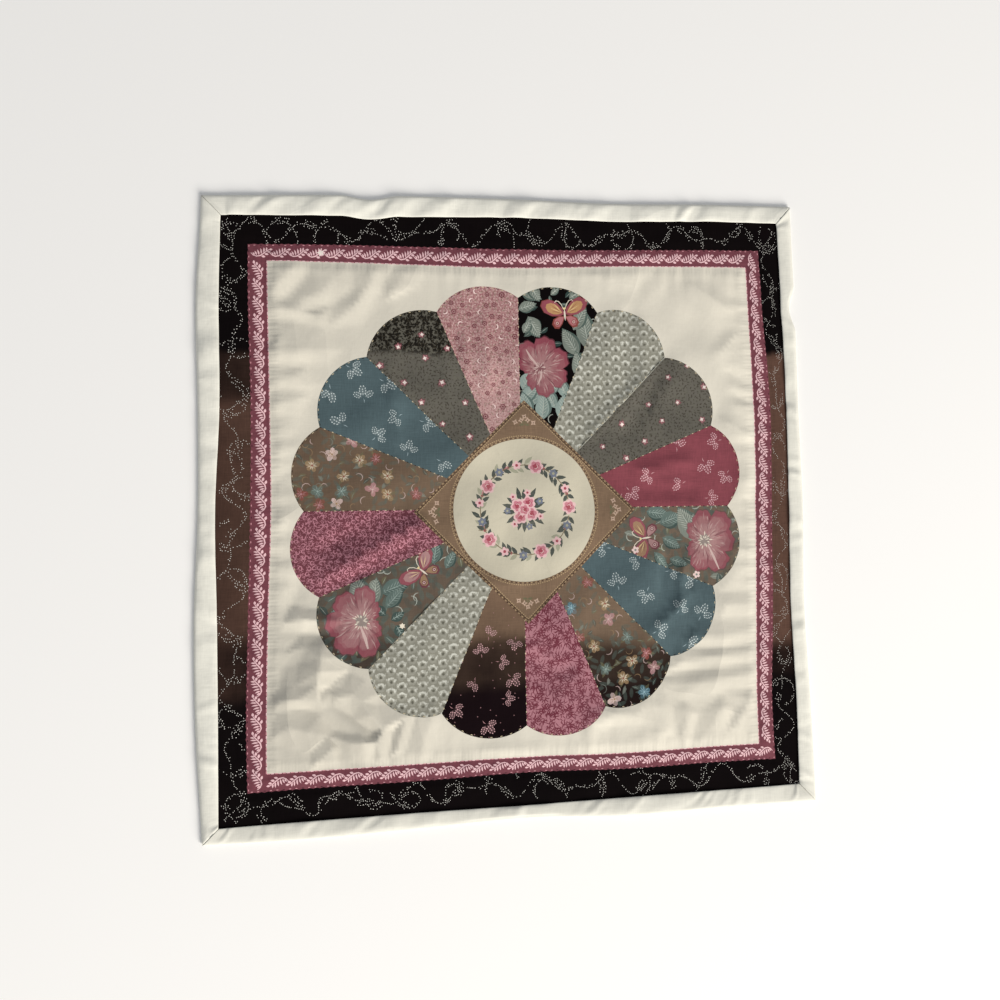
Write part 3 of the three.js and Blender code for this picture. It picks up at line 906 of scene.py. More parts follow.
def fan_flower(sheet, at, turn, radius, seed, white=False):
    """A big ruffled flower seen from its side, streaked towards its heart"""
    chance = random.Random(seed)
    lobes = 7
    outline = ruffled(radius, [chance.uniform(0.92, 1.06) for _ in range(lobes)])
    put = sheet.brush(at, turn)
    put("rose deep", outline * 1.02, 0.6)
    put("rose", outline * 0.98, 0.85)
    for shrink, cover in ((0.86, 0.16), (0.72, 0.2), (0.58, 0.22), (0.44, 0.25), (0.3, 0.3)):
        drift = (0, radius * 0.05 * math.sin(shrink * 20))
        put("rose pale", outline * shrink, cover + (0.06 if white else 0), 0, drift)
    for k in range(1, lobes):  # the folds between its lobes
        lean = 360 * (k - 0.5) / lobes
        far = 1 - 0.5 * behind(lean)
        put = sheet.brush(at, turn + lean + chance.uniform(-3, 3))
        fold = leaf(radius * 0.46 * far, 1.9, 2, 0.8)
        put("rose deep", fold, 0.5, 0, (radius * 0.3 * far, 0))
    streaks = 96
    for k in range(streaks):
        lean = 360 * k / streaks + chance.uniform(-3, 3)
        far = 1 - 0.55 * behind(lean)
        start = radius * far * chance.uniform(0.14, 0.6)
        reach = radius * far * chance.uniform(0.14, 0.34)
        name = ("rose light", "rose deep", "rose pale", "rose light", "rose")[k % 5]
        put = sheet.brush(at, turn + lean)
        put(name, leaf(reach, 1.1, 1, 0.5), chance.uniform(0.25, 0.55), 0, (start, 0))
    middle = placed(blossom(radius * 0.2, 7, 0.3, 2), at, turn)
    sheet.ink("fern grey" if white else "rose deep", middle, 0.6)
    stamens = 17
    for k in range(stamens):
        put = sheet.brush(at, turn + 360 * k / stamens + chance.uniform(-8, 8))
        base = (radius * chance.uniform(0.02, 0.16), 0)
        stamen = leaf(radius * chance.uniform(0.08, 0.16), 1.2, 1)
        put("cream" if white else "rose light", stamen, chance.uniform(0.6, 1.0), 0, base)


# Outlines of a butterfly's wings on its right, big and small, and of a feeler
BIG_WING = (
    (0, 1), (2, 6), (7, 11.5), (13, 14), (18.5, 13), (20, 9), (17.5, 3.5), (11, 0), (5, -0.5),
)
SMALL_WING = ((0, -1), (5, -0.5), (10, -3), (11.5, -7), (9.5, -10.5), (6, -11), (3, -7.5))
FEELER = ((0.8, 5), (2.2, 9), (4.6, 12), (7.0, 12.6), (8.0, 11.0))


def butterfly(sheet, at, turn, size, upper, lower, edge):
    """A butterfly with two pairs of wings, eye rings, a pale body and curled feelers"""
    put = sheet.brush(at, turn, size)
    wings = ((SMALL_WING, edge, lower, 0.8), (BIG_WING, "rose", upper, 0.7))
    for side in (-1, 1):
        for points, outer, inner, share in wings:
            shape = np.array(points) * (side, 1)
            middle = shape.mean(0) * 0.7
            put(edge, (shape - middle) * 1.06 + middle, 0.7)
            put(outer, shape, 0.9)
            put(inner, (shape - middle) * share + middle, 0.8)
        for k, reach in enumerate((9, 12, 13, 12, 10)):
            vein = "gold light" if k % 2 else edge
            put(vein, leaf(reach, 0.9, 1), 0.6, 90 - side * (28 + 12 * k), (side * 2.0, 2.0))
        ring = (side * 7.2, -6.4)
        put(edge, disc(2.2, 8), 0.8, 0, ring)
        put("rose light", disc(1.4), 1, 0, ring)
        put(edge, disc(0.8, 5), 1, 0, ring)
        put("cream", stroke(np.array(FEELER) * (side, 1), 0.7, 0.7), 0.9)
    put("cream", leaf(11, 1.7), 0.9, 90, (0, -5))
    put("gold light", disc(1.1), 1, 0, (0, 5.6))


def foliage_bits(sheet, number, sizes, seed, names, pitch=12.0):
    """Loose leaves and curls that fill the ground between large flowers"""
    places, chance = scatter(number, sizes, pitch, seed, 3, 0.4)
    for at in places:
        turn = chance.uniform(0, 360)
        name = chance.choice(names)
        if chance.random() < 0.7:
            length = chance.uniform(7, 13)
            sheet.ink(name, placed(leaf(length, length * 0.45, 3, 0.6), at, turn), 0.8)
            sheet.ink("fern light", placed(leaf(length * 0.9, 0.6, 1), at, turn), 0.5)
        else:
            bend = arc((0, 0), chance.uniform(3, 5.5), turn, turn + 150, 6)
            sheet.ink("fern light", stroke(bend + at, 0.9, 0.4), 0.7)


def gleam(sheet, path, width, taper, cover=1.0):
    """A pale brush line on a large flower"""
    sheet.ink("rose light", stroke(path, width, taper), cover)


def loose_blossom(sheet, at, name, flower, heart=None):
    """A small blossom beside the large ones, with or without a heart"""
    sheet.ink(name, placed(flower, at))
    if heart:
        sheet.ink("fern grey", placed(disc(heart, 5), at))


# The three big-floral petals: seed, inks and pitch of their loose leaves, then their figures in
# printing order, each with what its rows share. Rows of leaves: place, heading, length, width
CHINTZ = {
    0: (
        (35, BITS[:2], 13.0),
        (veined_leaf, (FERNS,), (
            ((2, 186), -28, 20, 10), ((10, 190), -62, 17, 9), ((0, 168), 18, 16, 9),
            ((8, 162), -62, 20, 12), ((28, 180), 40, 10, 5), ((44, 177), 30, 11, 6),
            ((4, 148), 60, 12, 7), ((60, 132), 98, 36, 15), ((50, 128), 118, 26, 13),
            ((47, 150), 60, 22, 11), ((24, 190), 150, 20, 9), ((36, 188), 168, 12, 6),
            ((-2, 132), 40, 12, 7), ((52, 108), 100, 24, 10),
        )),
        (veined_leaf, (PALE_TEALS,), (
            ((2, 100), 62, 18, 11), ((10, 86), 75, 24, 11), ((22, 82), 98, 22, 11),
            ((30, 84), 118, 20, 10), ((14, 98), 20, 22, 9), ((40, 92), 110, 20, 9),
            ((26, 96), 60, 14, 7), ((0, 90), 40, 20, 10), ((18, 74), 84, 22, 12),
            ((6, 76), 100, 22, 12), ((34, 74), 80, 22, 11),
        )),
        (fan_flower, (), (((17, 118), 24, 28, 3),)),
        (gleam, (), (
            (((6, 134), (10, 127), (17, 119)), 2.2, 0.3, 0.9),
            (((15, 104), (18, 110), (19, 117)), 1.8, 0.3, 0.9),
        )),
        (butterfly, ("gold", "wing pink", "brick"), (((40, 163), 4, 1.0),)),
    ),
    4: (
        (31, BITS, 12.0),
        (veined_leaf, (TEALS,), (
            ((106, -4), -8, 20, 11), ((118, -14), 18, 20, 13), ((120, -26), -30, 18, 9),
            ((112, -38), -50, 20, 8), ((126, -44), -20, 16, 8),
        )),
        (veined_leaf, (FERNS,), (((152, -30), 122, 34, 17), ((150, -34), 96, 28, 13))),
        (fan_flower, (True,), (((157, -29), -4, 29, 8),)),
        (gleam, (), ((((160, -33), (165, -43), (170, -54)), 2.2, 0.4),)),
        (butterfly, ("tan", "rose pale", "rose deep"), (((106, -26), 98, 0.95),)),
        (loose_blossom, ("curl cream", blossom(3.4, 5, 0.35), 1.1), (
            ((140, -62),), ((150, -58),), ((96, -36),),
        )),
    ),
    10: (
        (33, BITS, 12.0),
        (veined_leaf, (TEALS,), (
            ((-116, -66), 20, 24, 13), ((-112, -78), 48, 20, 10), ((-74, -44), 82, 18, 11),
            ((-64, -48), 62, 16, 8), ((-150, -112), 40, 22, 9), ((-158, -96), 70, 20, 9),
        )),
        (veined_leaf, (FERNS,), (((-128, -80), 108, 30, 16), ((-122, -76), 84, 22, 11))),
        (veined_leaf, (12, 7, DEEP_TEALS), (
            ((-108, -88), 30), ((-112, -84), 140), ((-104, -92), -60),
        )),
        (loose_blossom, ("cream", blossom(2.6, 6, 0.4, 2)), (((-99, -93),),)),
        (fan_flower, (True,), (((-131, -88), 184, 30, 12),)),
        (gleam, (), ((((-132, -92), (-128, -102), (-126, -110)), 2.6, 0.5),)),
        (butterfly, ("rose pale", "tan", "rose deep"), (((-82, -50), 52, 0.92),)),
    ),
}


def print_chintz(sheet, number, sizes):
    """Large flowers, veined leaves and a butterfly, each petal with its own cut of the cloth"""
    bits, *figures = CHINTZ[number]
    foliage_bits(sheet, number, sizes, *bits)
    for figure, shared, rows in figures:
        for row in rows:
            figure(sheet, *row, *shared)


PRINTERS = {
    "chintz black": print_chintz,
    "chintz brown": print_chintz,
    "charcoal": print_charcoal,
    "crimson": print_sprigs,
    "slate": print_sprigs,
    "plum": print_sprigs,
    "brown floral": print_brown_floral,
    "dusty pink": print_dusty_pink,
}


# ---- The plate ----


def rose(sheet, at, radius, chance):
    """A small full rose in three pinks"""
    put = sheet.brush(at, chance.uniform(0, 360))
    put("posy rose light", blossom(radius * 1.08, 6, 0.22))
    put("posy rose", blossom(radius * 0.82, 5, 0.25), 1, 20)
    put("posy heart", blossom(radius * 0.5, 5, 0.3, 2), 1, 60)
    put("posy rose light", stroke(arc((0, 0), radius * 0.3, 20, 220, 5), 0.7, 0.5))


def bud(sheet, at, blue, flower, heart, turn=0.0):
    """A blue or a pink bud"""
    names = ("posy blue", "posy pale leaf") if blue else ("posy rose light", "posy heart")
    sheet.ink(names[0], placed(flower, at, turn))
    sheet.ink(names[1], placed(disc(heart, 5), at))


def print_posy(sheet, centre):
    """A round wreath of small roses, buds and leaves, with a round posy in its middle"""
    chance = random.Random(5)
    greens = ("posy leaf", "posy leaf", "posy leaf", "posy leaf", "posy pale leaf")
    for k in range(8):  # sprays of berries, out from the wreath and in
        angle = k * 45 + 22
        for reach, turn in ((WREATH + 5, -90), (WREATH - 5, 90)):
            stalk = polar(angle, reach) + centre
            for lean in (-24, 0, 24):
                heading = turn - angle + lean
                sheet.ink("posy stem", placed(leaf(5.2, 0.7, 1), stalk, heading))
                tip = placed([(5.4, 0)], stalk, heading)[0]
                sheet.ink("posy heart" if lean else "posy rose", placed(disc(1.3), tip))
    for k in range(40):
        angle = k * 9 + chance.uniform(-2, 2)
        spot = polar(angle, WREATH + chance.uniform(-1.2, 1.2)) + centre
        for lean in (44, -46):
            shape = leaf(chance.uniform(7.0, 10.0), 3.6, 2)
            sheet.ink(chance.choice(greens), placed(shape, spot, -angle + lean))
    sheet.ink("posy stem", stroke(arc(centre, WREATH, 0, 352, 40), 0.8, 0.9))
    for k in range(15):
        angle = 15 + k * 24
        spot = polar(angle, WREATH + chance.uniform(-1, 1)) + centre
        if k % 3 == 0:
            rose(sheet, spot, 6.0, chance)
        elif k % 3 == 1:
            bud(sheet, spot, True, blossom(4.2, 6, 0.35, 2), 1.3, angle)
        else:
            bud(sheet, spot, False, blossom(4.0, 5, 0.35), 1.4, angle)
    for k in range(14):
        angle = k * 360 / 14
        shape = leaf(chance.uniform(10, 14), 4.2, 2)
        heading = 90 - angle + chance.uniform(-12, 12)
        sheet.ink(greens[k % 4], placed(shape, polar(angle, 7.0) + centre, heading))
    for k in range(7):
        spot = polar(k * 360 / 7 + 10, 14.5) + centre
        bud(sheet, spot, k % 2, blossom(3.4, 5, 0.35, 2), 1.1)
    for k in range(4):
        rose(sheet, polar(k * 90 + 30, 6.6) + centre, 5.8, chance)
    rose(sheet, np.array(centre, float), 5.0, chance)


def wavy_square(half, amount, pitch):
    """A square outline whose edge is drawn in a little at every stitch"""
    points = []
    count = int(2 * half / pitch)
    for quarter in range(4):
        for k in range(count):
            along = -half + 2 * half * k / count
            wave = (0.5 if k % 2 else -0.5) if 1 < k < count - 1 else 0
            points.append(placed([(along, -half - amount * wave)], turn=quarter * 90)[0])
    return points


def curl_path(chance, k):
    """A curl in the upper border: most of a circle, and a tail that bends away from it"""
    along = -232 + k * CURL_PITCH + chance.uniform(-8, 8)
    away = BORDER_LINE + chance.uniform(-7, 7)
    radius = chance.uniform(5.5, 12)
    start = chance.uniform(0, 360)
    sweep = chance.choice((-1, 1)) * chance.uniform(130, 270)
    curl = arc((along, away), radius, start, start + sweep, 14)
    run = (curl[-1] - curl[-2]) / np.linalg.norm(curl[-1] - curl[-2])
    bend = np.array([-run[1], run[0]]) * chance.choice((-1, 1))
    t = np.linspace(0.2, 1, 5)[:, None]
    tail = curl[-1] + run * t * chance.uniform(10, 22) + bend * t**2 * chance.uniform(2, 8)
    return np.concatenate([curl, tail])


def print_border(sheet):
    """The black border, with vines of dots"""
    sheet.patch("black border", square_ring(HALF)[:4])
    chance = random.Random(12)
    for quarter in range(4):
        phase = chance.uniform(0, 6)  # where the stem's two waves start on this side
        for k in range(STEMS):
            start = -238 + k * STEM_LENGTH
            along = np.arange(start, start + STEM_LENGTH - 1, 2.0)
            sway = 6 * np.sin(along / 8.3 + phase) + 4 * np.sin(along / 5.1 + 2 * phase)
            path = np.stack([along, BORDER_LINE + sway], 1)
            vine(sheet, placed(path, turn=quarter * 90), chance)
        for k in range(CURLS):
            vine(sheet, placed(curl_path(chance, k), turn=quarter * 90), chance)


def print_band(sheet, repeat):
    """The burgundy band, with its laurel, the dashes along its edge and one worn spot"""
    sheet.patch("laurel band", wavy_square(BAND_HALF, 0.7, 2.6))
    count = round(LAUREL_REACH / repeat)
    for quarter in range(4):
        for k in range(count):
            start = LAUREL_START + k * LAUREL_REACH / count
            laurel_unit(sheet, start, quarter * 90, LAUREL_REACH / count)
    names = ("edge pink", "edge pink", "edge dark")
    dashes(sheet, square_ring(BAND_HALF - 0.9), 1.5, 3.3, 0.6, names)
    sheet.ink("worn", placed(blossom(3.4, 5, 0.55, 2), (-161, 211)))


def print_petals(sheet, sizes):
    """The sixteen petals, with their prints and the stitches round them"""
    petals = [sheet.patch(PETAL_ROWS[k][0], petal_outline(k, sizes)) for k in range(PETALS)]
    for number in range(PETALS):
        sheet.home = petals[number]
        printer = PRINTERS.get(PETAL_ROWS[number][0])
        if printer:
            printer(sheet, number, sizes)
    for number in range(PETALS):
        end = petal_outline(number, sizes)[1:]
        dashes(sheet, end, 1.7, 2.4, 0.55, ("thread dark", "thread light"), -0.8)
        ray = [polar(number * PETAL_TURN, reach) for reach in (RAY_START, sizes["petal"])]
        line = EDGE_LINES.get(number)
        if line:
            sheet.ink(line, stroke(ray, 0.7, 1.0), 0.6, anywhere=True)
        dashes(sheet, ray, 1.4, 2.0, 0.6, ("thread light", "thread dark"), 0.9 if line else 0.0)


def print_hub(sheet, hub):
    """The brown hub, with a small spray in each corner and three rows of stitches"""
    square = np.array([polar(turn, hub) for turn in (0, 90, 180, 270, 0)])
    sheet.patch("hub", square[:4] + HUB_CENTRE)
    for turn in range(0, 360, 90):
        base = polar(turn, hub * 0.78) + HUB_CENTRE
        for lean, reach in ((-75, 8.0), (-38, 4.5), (0, 6.6), (38, 4.5), (80, 7.6)):
            spot = base + polar(turn + lean, reach)
            sheet.ink("hub blossom", placed(blossom(2.7, 4, 0.5, 2), spot, lean + 10), 0.8)
            sheet.ink("hub line", placed(disc(0.6, 4), spot))
            sheet.ink("olive", placed(leaf(4.4, 0.8, 1), base, 90 - turn - lean))
        for side in (-1, 1):
            sheet.ink("olive", placed(leaf(4.6, 1.6), base, 90 - turn + side * 100))
    for shrink, length, space, width, names in (
        (0.988, 1.0, 0.9, 1.0, ("hub dots", "hub line")),
        (0.958, 1.0, 0.9, 0.8, ("hub dots",)),
        (0.973, 2.6, 0.4, 0.7, ("hub line",)),
    ):
        dashes(sheet, square * shrink + HUB_CENTRE, length, space, width, names)


def print_medallion(sheet, radius):
    """The round medallion with two rings of stitches round it"""
    ring = arc(MEDALLION_CENTRE, radius + 2.6, 0, 360, 90)
    dashes(sheet, ring, 1.0, 0.9, 0.9, ("hub dots",))
    ring = arc(MEDALLION_CENTRE, radius + 1.0, 0, 360, 90)
    dashes(sheet, ring, 1.1, 0.8, 0.8, ("hub dots", "hub line"))
    sheet.patch("medallion", arc(MEDALLION_CENTRE, radius, 0, 355, 72))
    print_posy(sheet, MEDALLION_CENTRE)


def print_plate(sizes):
    """The whole printed plate, from the black border in to the posy"""
    sheet = Print()
    print_border(sheet)
    print_band(sheet, sizes["laurel"])
    sheet.patch("muslin", wavy_square(GROUND_HALF, 0.5, 2.9))
    dashes(sheet, square_ring(GROUND_HALF + 0.1), 2.3, 0.7, 0.75, ("edge pink", "laurel pink"))
    print_petals(sheet, sizes)
    print_hub(sheet, sizes["hub"])
    print_medallion(sheet, sizes["medallion"])
    return sheet


# ---- Meshes ----

RIM_STEP = 5.1  # spacing of the panel's edge points
GRID_STEP = 5.8  # spacing of its grid, under the petals and in the border
GROUND_STEP = 3.6  # spacing on the plain ground, which shows every crease
CREASED_STEP = 2.6  # spacing in the lower left, where it is creased most
LINE_STEP = 3.0  # spacing of its extra points beside the lines of quilting
LINE_REACH = 7.0  # how far those points reach
PLATE_REACH = 184.0  # from the middle to the plain ground
CREASED_REACH = 172.0  # from the middle to the creased ground
CREASED_LEFT, CREASED_BELOW = -50.0, -74.0  # and it lies left of and below these lines
BACK_STEP = 9.5  # spacing of the underside's points
STRIP_STEP = 1.6  # length of the binding's stretches
LEAF = 17.0  # usual width of its front leaf
NORMAL_STEP = 0.6  # over this distance the panel's slope is taken
CELL, CELLS_ACROSS = 4.0, 160  # squares by which triangles under an outline are looked up
PAIR_LIMIT = 2_000_000  # how many pairs of a point and an outline's edge are looked at together

# The edge of a fade isn't straight: height, length and phase of its waves
FADE_WAVES = ((1.6, 23, 1), (1.1, 9, 0))
# Where creases and painted shade are strongest: place and share, and how far each spreads
CREASED_AND_SHADED = ((-150, -160, 1.5), (165, -150, 0.8))
CREASE_SHADE_SPREAD = 70
# Gathers beside each line of quilting: its place, their share and how far they reach
STITCH_GATHERS = ((GROUND_HALF - 2, 1.0, 11), (BAND_HALF, 0.8, 8))


def plate_shift():
    """How far the middle of the print lies from the origin, from the solids' box"""
    along = np.linspace(-HALF, HALF, 205)
    edge = np.full_like(along, HALF)
    xs = np.concatenate([lie(edge, along, 0)[0], lie(-edge, along, 0)[0]])
    ys = np.concatenate([lie(along, edge, 0)[1], lie(along, -edge, 0)[1]])
    low, high = CAD_BOX
    return (
        (low[0] + high[0]) / 2 / MM - (xs.min() + xs.max()) / 2,
        (low[1] + high[1]) / 2 / MM - (ys.min() + ys.max()) / 2,
    )


def rim_points():
    """Points round the panel's edge, in turn"""
    along = np.linspace(-HALF, HALF, round(2 * HALF / RIM_STEP) + 1)[:-1]
    edge = np.full_like(along, HALF)
    sides = ((along, -edge), (edge, along), (-along, edge), (-edge, -along))
    return np.concatenate([np.stack(side, 1) for side in sides])


def grid_points(step):
    """Points of a square grid inside the edge"""
    lines = np.linspace(-HALF, HALF, round(2 * HALF / step) + 1)[1:-1]
    u, v = np.meshgrid(lines, lines)
    return np.stack([u.ravel(), v.ravel()], 1)


def base_points():
    """The panel's points: grids, closer together on the plain ground and beside the quilting"""
    steps = (GRID_STEP, GROUND_STEP, CREASED_STEP, LINE_STEP)
    wide, open_ground, creased, close = (grid_points(step) for step in steps)

    def near(points):
        square = np.abs(points).max(1)
        from_ground, from_band = np.abs(square - GROUND_HALF), np.abs(square - BAND_HALF)
        return np.minimum(from_ground, from_band + 2) < LINE_REACH

    def plain(points, reach=PLATE_REACH):
        return (np.abs(points).max(1) < GROUND_HALF) & (np.hypot(*points.T) > reach)

    def most(points):
        corner = (points[:, 0] < CREASED_LEFT) & (points[:, 1] < CREASED_BELOW)
        return plain(points, CREASED_REACH) & corner

    wide = wide[~near(wide) & ~plain(wide) & ~most(wide)]
    open_ground = open_ground[~near(open_ground) & plain(open_ground) & ~most(open_ground)]
    creased = creased[~near(creased) & most(creased)]
    return np.concatenate([rim_points(), wide, open_ground, creased, close[near(close)]])


def cut(points, outlines):
    """Flat triangles over the points, cut along the outlines"""
    corners, edges = [tuple(p) for p in points], []
    for outline in outlines:
        start, count = len(corners), len(outline)
        edges.extend((start + k, start + (k + 1) % count) for k in range(count))
        corners.extend(tuple(p) for p in outline)
    made = delaunay_2d_cdt([Vector(p) for p in corners], edges, [], 0, 1e-4, False)
    flat = np.array([tuple(p) for p in made[0]])
    triangles = np.array(made[2])
    a, b, c = (flat[triangles[:, k]] for k in range(3))
    area = (b[:, 0] - a[:, 0]) * (c[:, 1] - a[:, 1]) - (b[:, 1] - a[:, 1]) * (c[:, 0] - a[:, 0])
    triangles[area < 0] = triangles[area < 0][:, ::-1]
    return flat, triangles


def within(outline, points):
    """Which of the points lie inside an outline"""
    start, end = outline, np.roll(outline, -1, axis=0)
    rise = end[:, 1] - start[:, 1]
    slope = (end[:, 0] - start[:, 0]) / np.where(rise == 0, 1, rise)
    found = []
    for part in np.array_split(points, 1 + len(points) * len(outline) // PAIR_LIMIT):
        x, y = part[:, :1], part[:, 1:]
        spans = (start[:, 1] > y) != (end[:, 1] > y)
        left = x < start[:, 0] + (y - start[:, 1]) * slope
        found.append((spans & left).sum(1) % 2 == 1)
    return np.concatenate(found)


def painted(sheet, middles):
    """Cloth and ink of each triangle, from the outlines round its middle in printing order"""
    keys = np.floor((middles + HALF) / CELL).astype(int)
    keys = keys[:, 1] * CELLS_ACROSS + keys[:, 0]
    order = np.argsort(keys, kind="stable")
    keys = keys[order]
    top = np.full(len(middles), -1)
    inks = np.zeros((len(middles), 4))
    for i, outline in enumerate(sheet.outlines):
        ends = (outline.min(0), outline.max(0))
        low, high = (np.floor((end + HALF) / CELL).astype(int) for end in ends)
        near = []
        for row in range(low[1], high[1] + 1):
            first = row * CELLS_ACROSS
            ends = np.searchsorted(keys, (first + low[0], first + high[0] + 1))
            near.append(order[ends[0] : ends[1]])
        near = np.concatenate(near)
        near = near[within(outline, middles[near])] if len(near) else near
        if sheet.cloths[i] is not None:
            top[near] = i
            inks[near] = 0
            continue
        if sheet.homes[i] is not None:
            near = near[top[near] == sheet.homes[i]]
        *colour, fresh = sheet.inks[i]
        below = inks[near, 3:] * (1 - fresh)
        total = fresh + below
        inks[near, :3] = (np.array(colour) * fresh + inks[near, :3] * below) / total
        inks[near, 3:] = total
    cloths = [sheet.cloths[i] if i >= 0 else "muslin" for i in top]
    return cloths, inks


def matching(flat, wanted):
    """Indices of the flat points that lie where the wanted ones do"""
    found = {(round(p[0], 3), round(p[1], 3)): k for k, p in enumerate(flat)}
    return [found[(round(p[0], 3), round(p[1], 3))] for p in wanted]


def upward(u, v, lift, level):
    """Unit normals of the panel's underside (0) or upper side (1)"""
    ends = []
    for du, dv in ((NORMAL_STEP, 0), (-NORMAL_STEP, 0), (0, NORMAL_STEP), (0, -NORMAL_STEP)):
        x, y = lie(u + du, v + dv, FOLD_DEPTH)
        ends.append(np.stack([x, y, panel_heights(u + du, v + dv, x, y, lift)[level]], 1))
    normal = np.cross(ends[0] - ends[1], ends[2] - ends[3])
    return normal / np.linalg.norm(normal, axis=1, keepdims=True)


def fade_at(u, v):
    """How faded the cloth is at points of the made square, from 0 to 1"""
    waver = sum(height * np.sin(u / length + phase) for height, length, phase in FADE_WAVES)
    across = (u + HALF) / (2 * HALF)
    total = np.zeros_like(u)
    for left, right, change_left, change_right, soft in FADE_EDGES:
        change = change_left + (change_right - change_left) * across
        total += change * smooth(-soft, soft, v - left - (right - left) * across - waver)
    return np.clip(total, 0, 1)


def crease_and_shade_share(u, v):
    """Strength of creases and painted shade: everywhere, and more to the left and top"""
    share = np.full_like(u, 0.55)
    for at_u, at_v, more in CREASED_AND_SHADED:
        share += more * np.exp(-((u - at_u) ** 2 + (v - at_v) ** 2) / CREASE_SHADE_SPREAD**2)
    return share + 0.3 * smooth(120, -160, u) + 0.2 * smooth(90, 190, v)


def new_object(name, mesh):
    piece = bpy.data.objects.new(name, mesh)
    bpy.context.scene.collection.objects.link(piece)
    return piece


def vertex_of_corner(mesh):
    """The vertex that each face corner of a mesh belongs to"""
    corner = np.empty(len(mesh.loops), int)
    mesh.loops.foreach_get("vertex_index", corner)
    return corner


def note_point(mesh, name, values):
    """A value for each point of a mesh, which a material may read"""
    mesh.attributes.new(name, "FLOAT", "POINT").data.foreach_set("value", values)


def make_panel(sizes, lift, materials):
    """The panel as one closed cloth: printed upper side, plain underside and raw edge"""
    sheet = print_plate(sizes)
    rim = rim_points()
    flat, triangles = cut(base_points(), sheet.outlines)
    cloths, inks = painted(sheet, flat[triangles].mean(1))
    back, back_triangles = cut(np.concatenate([rim, grid_points(BACK_STEP)]), [])
    shift = plate_shift()
    points, normals = [], []
    for level, (u, v) in ((1, flat.T), (0, back.T)):
        x, y = lie(u, v, FOLD_DEPTH)
        z = panel_heights(u, v, x, y, lift)[level]
        points.append(np.stack([x + shift[0], y + shift[1], z], 1) * MM)
        normals.append(upward(u, v, lift, level) * (1 if level else -1))
    count = len(flat)
    upper_rim, lower_rim = matching(flat, rim), [count + k for k in matching(back, rim)]
    walls = []
    for k, (top, low) in enumerate(zip(upper_rim, lower_rim)):
        after = (k + 1) % len(rim)
        walls.append((low, lower_rim[after], upper_rim[after]))
        walls.append((low, upper_rim[after], top))
    faces = [*triangles.tolist(), *(back_triangles[:, ::-1] + count).tolist(), *walls]
    mesh = bpy.data.meshes.new("printed_panel")
    mesh.from_pydata(np.concatenate(points).tolist(), [], faces)
    for material in materials.values():
        mesh.materials.append(material)
    order = {name: k for k, name in enumerate(materials)}
    slots = [order[name] for name in cloths]
    slots += [order["backing"]] * (len(faces) - len(slots))
    mesh.polygons.foreach_set("material_index", slots)
    mesh.polygons.foreach_set("use_smooth", [True] * len(faces))

    both = np.concatenate([flat, back])
    corner = vertex_of_corner(mesh)
    mesh.uv_layers.new(name="Print").data.foreach_set("uv", (both[corner] * MM).ravel())
    shown = np.zeros((len(mesh.loops), 4))
    shown[: 3 * len(triangles)] = np.repeat(inks, 3, axis=0)
    ink = mesh.attributes.new("ink", "FLOAT_COLOR", "CORNER")
    ink.data.foreach_set("color", shown.ravel())
    note_point(mesh, "fade", fade_at(*both.T))
    for name, across in (("gather_v", 1), ("gather_u", 0)):
        reach = np.abs(both[:, across])
        beside = sum(share * hump(reach - at, half) for at, share, half in STITCH_GATHERS)
        beside *= np.abs(both[:, 1 - across]) < GROUND_HALF + 8
        note_point(mesh, name, beside)
    note_point(mesh, "crease_and_shade", crease_and_shade_share(*both.T))
    bake_map(mesh, both, corner, 3 * len(triangles), 3 * len(back_triangles))
    mesh.validate()
    mesh.normals_split_custom_set_from_vertices(np.concatenate(normals).tolist())
    return new_object("printed_panel", mesh)


def bake_map(mesh, both, corner, upper, under):
    """A second map that gives the print nearly the whole square, and the plain sides a strip"""
    margin, main, strip, end = 0.003, 0.93, 0.945, 0.995
    spread = (both[corner] + HALF) / (2 * HALF)
    spread[:upper] = spread[:upper] * (main - 2 * margin, 1 - 2 * margin) + margin
    below, edge = slice(upper, upper + under), slice(upper + under, None)
    for part, start, height in ((below, margin, 0.9), (edge, 0.92, 0.07)):
        spread[part] = spread[part] * (end - strip, height) + (strip, start)
    mesh.uv_layers.new(name="OFBake").data.foreach_set("uv", spread.ravel())


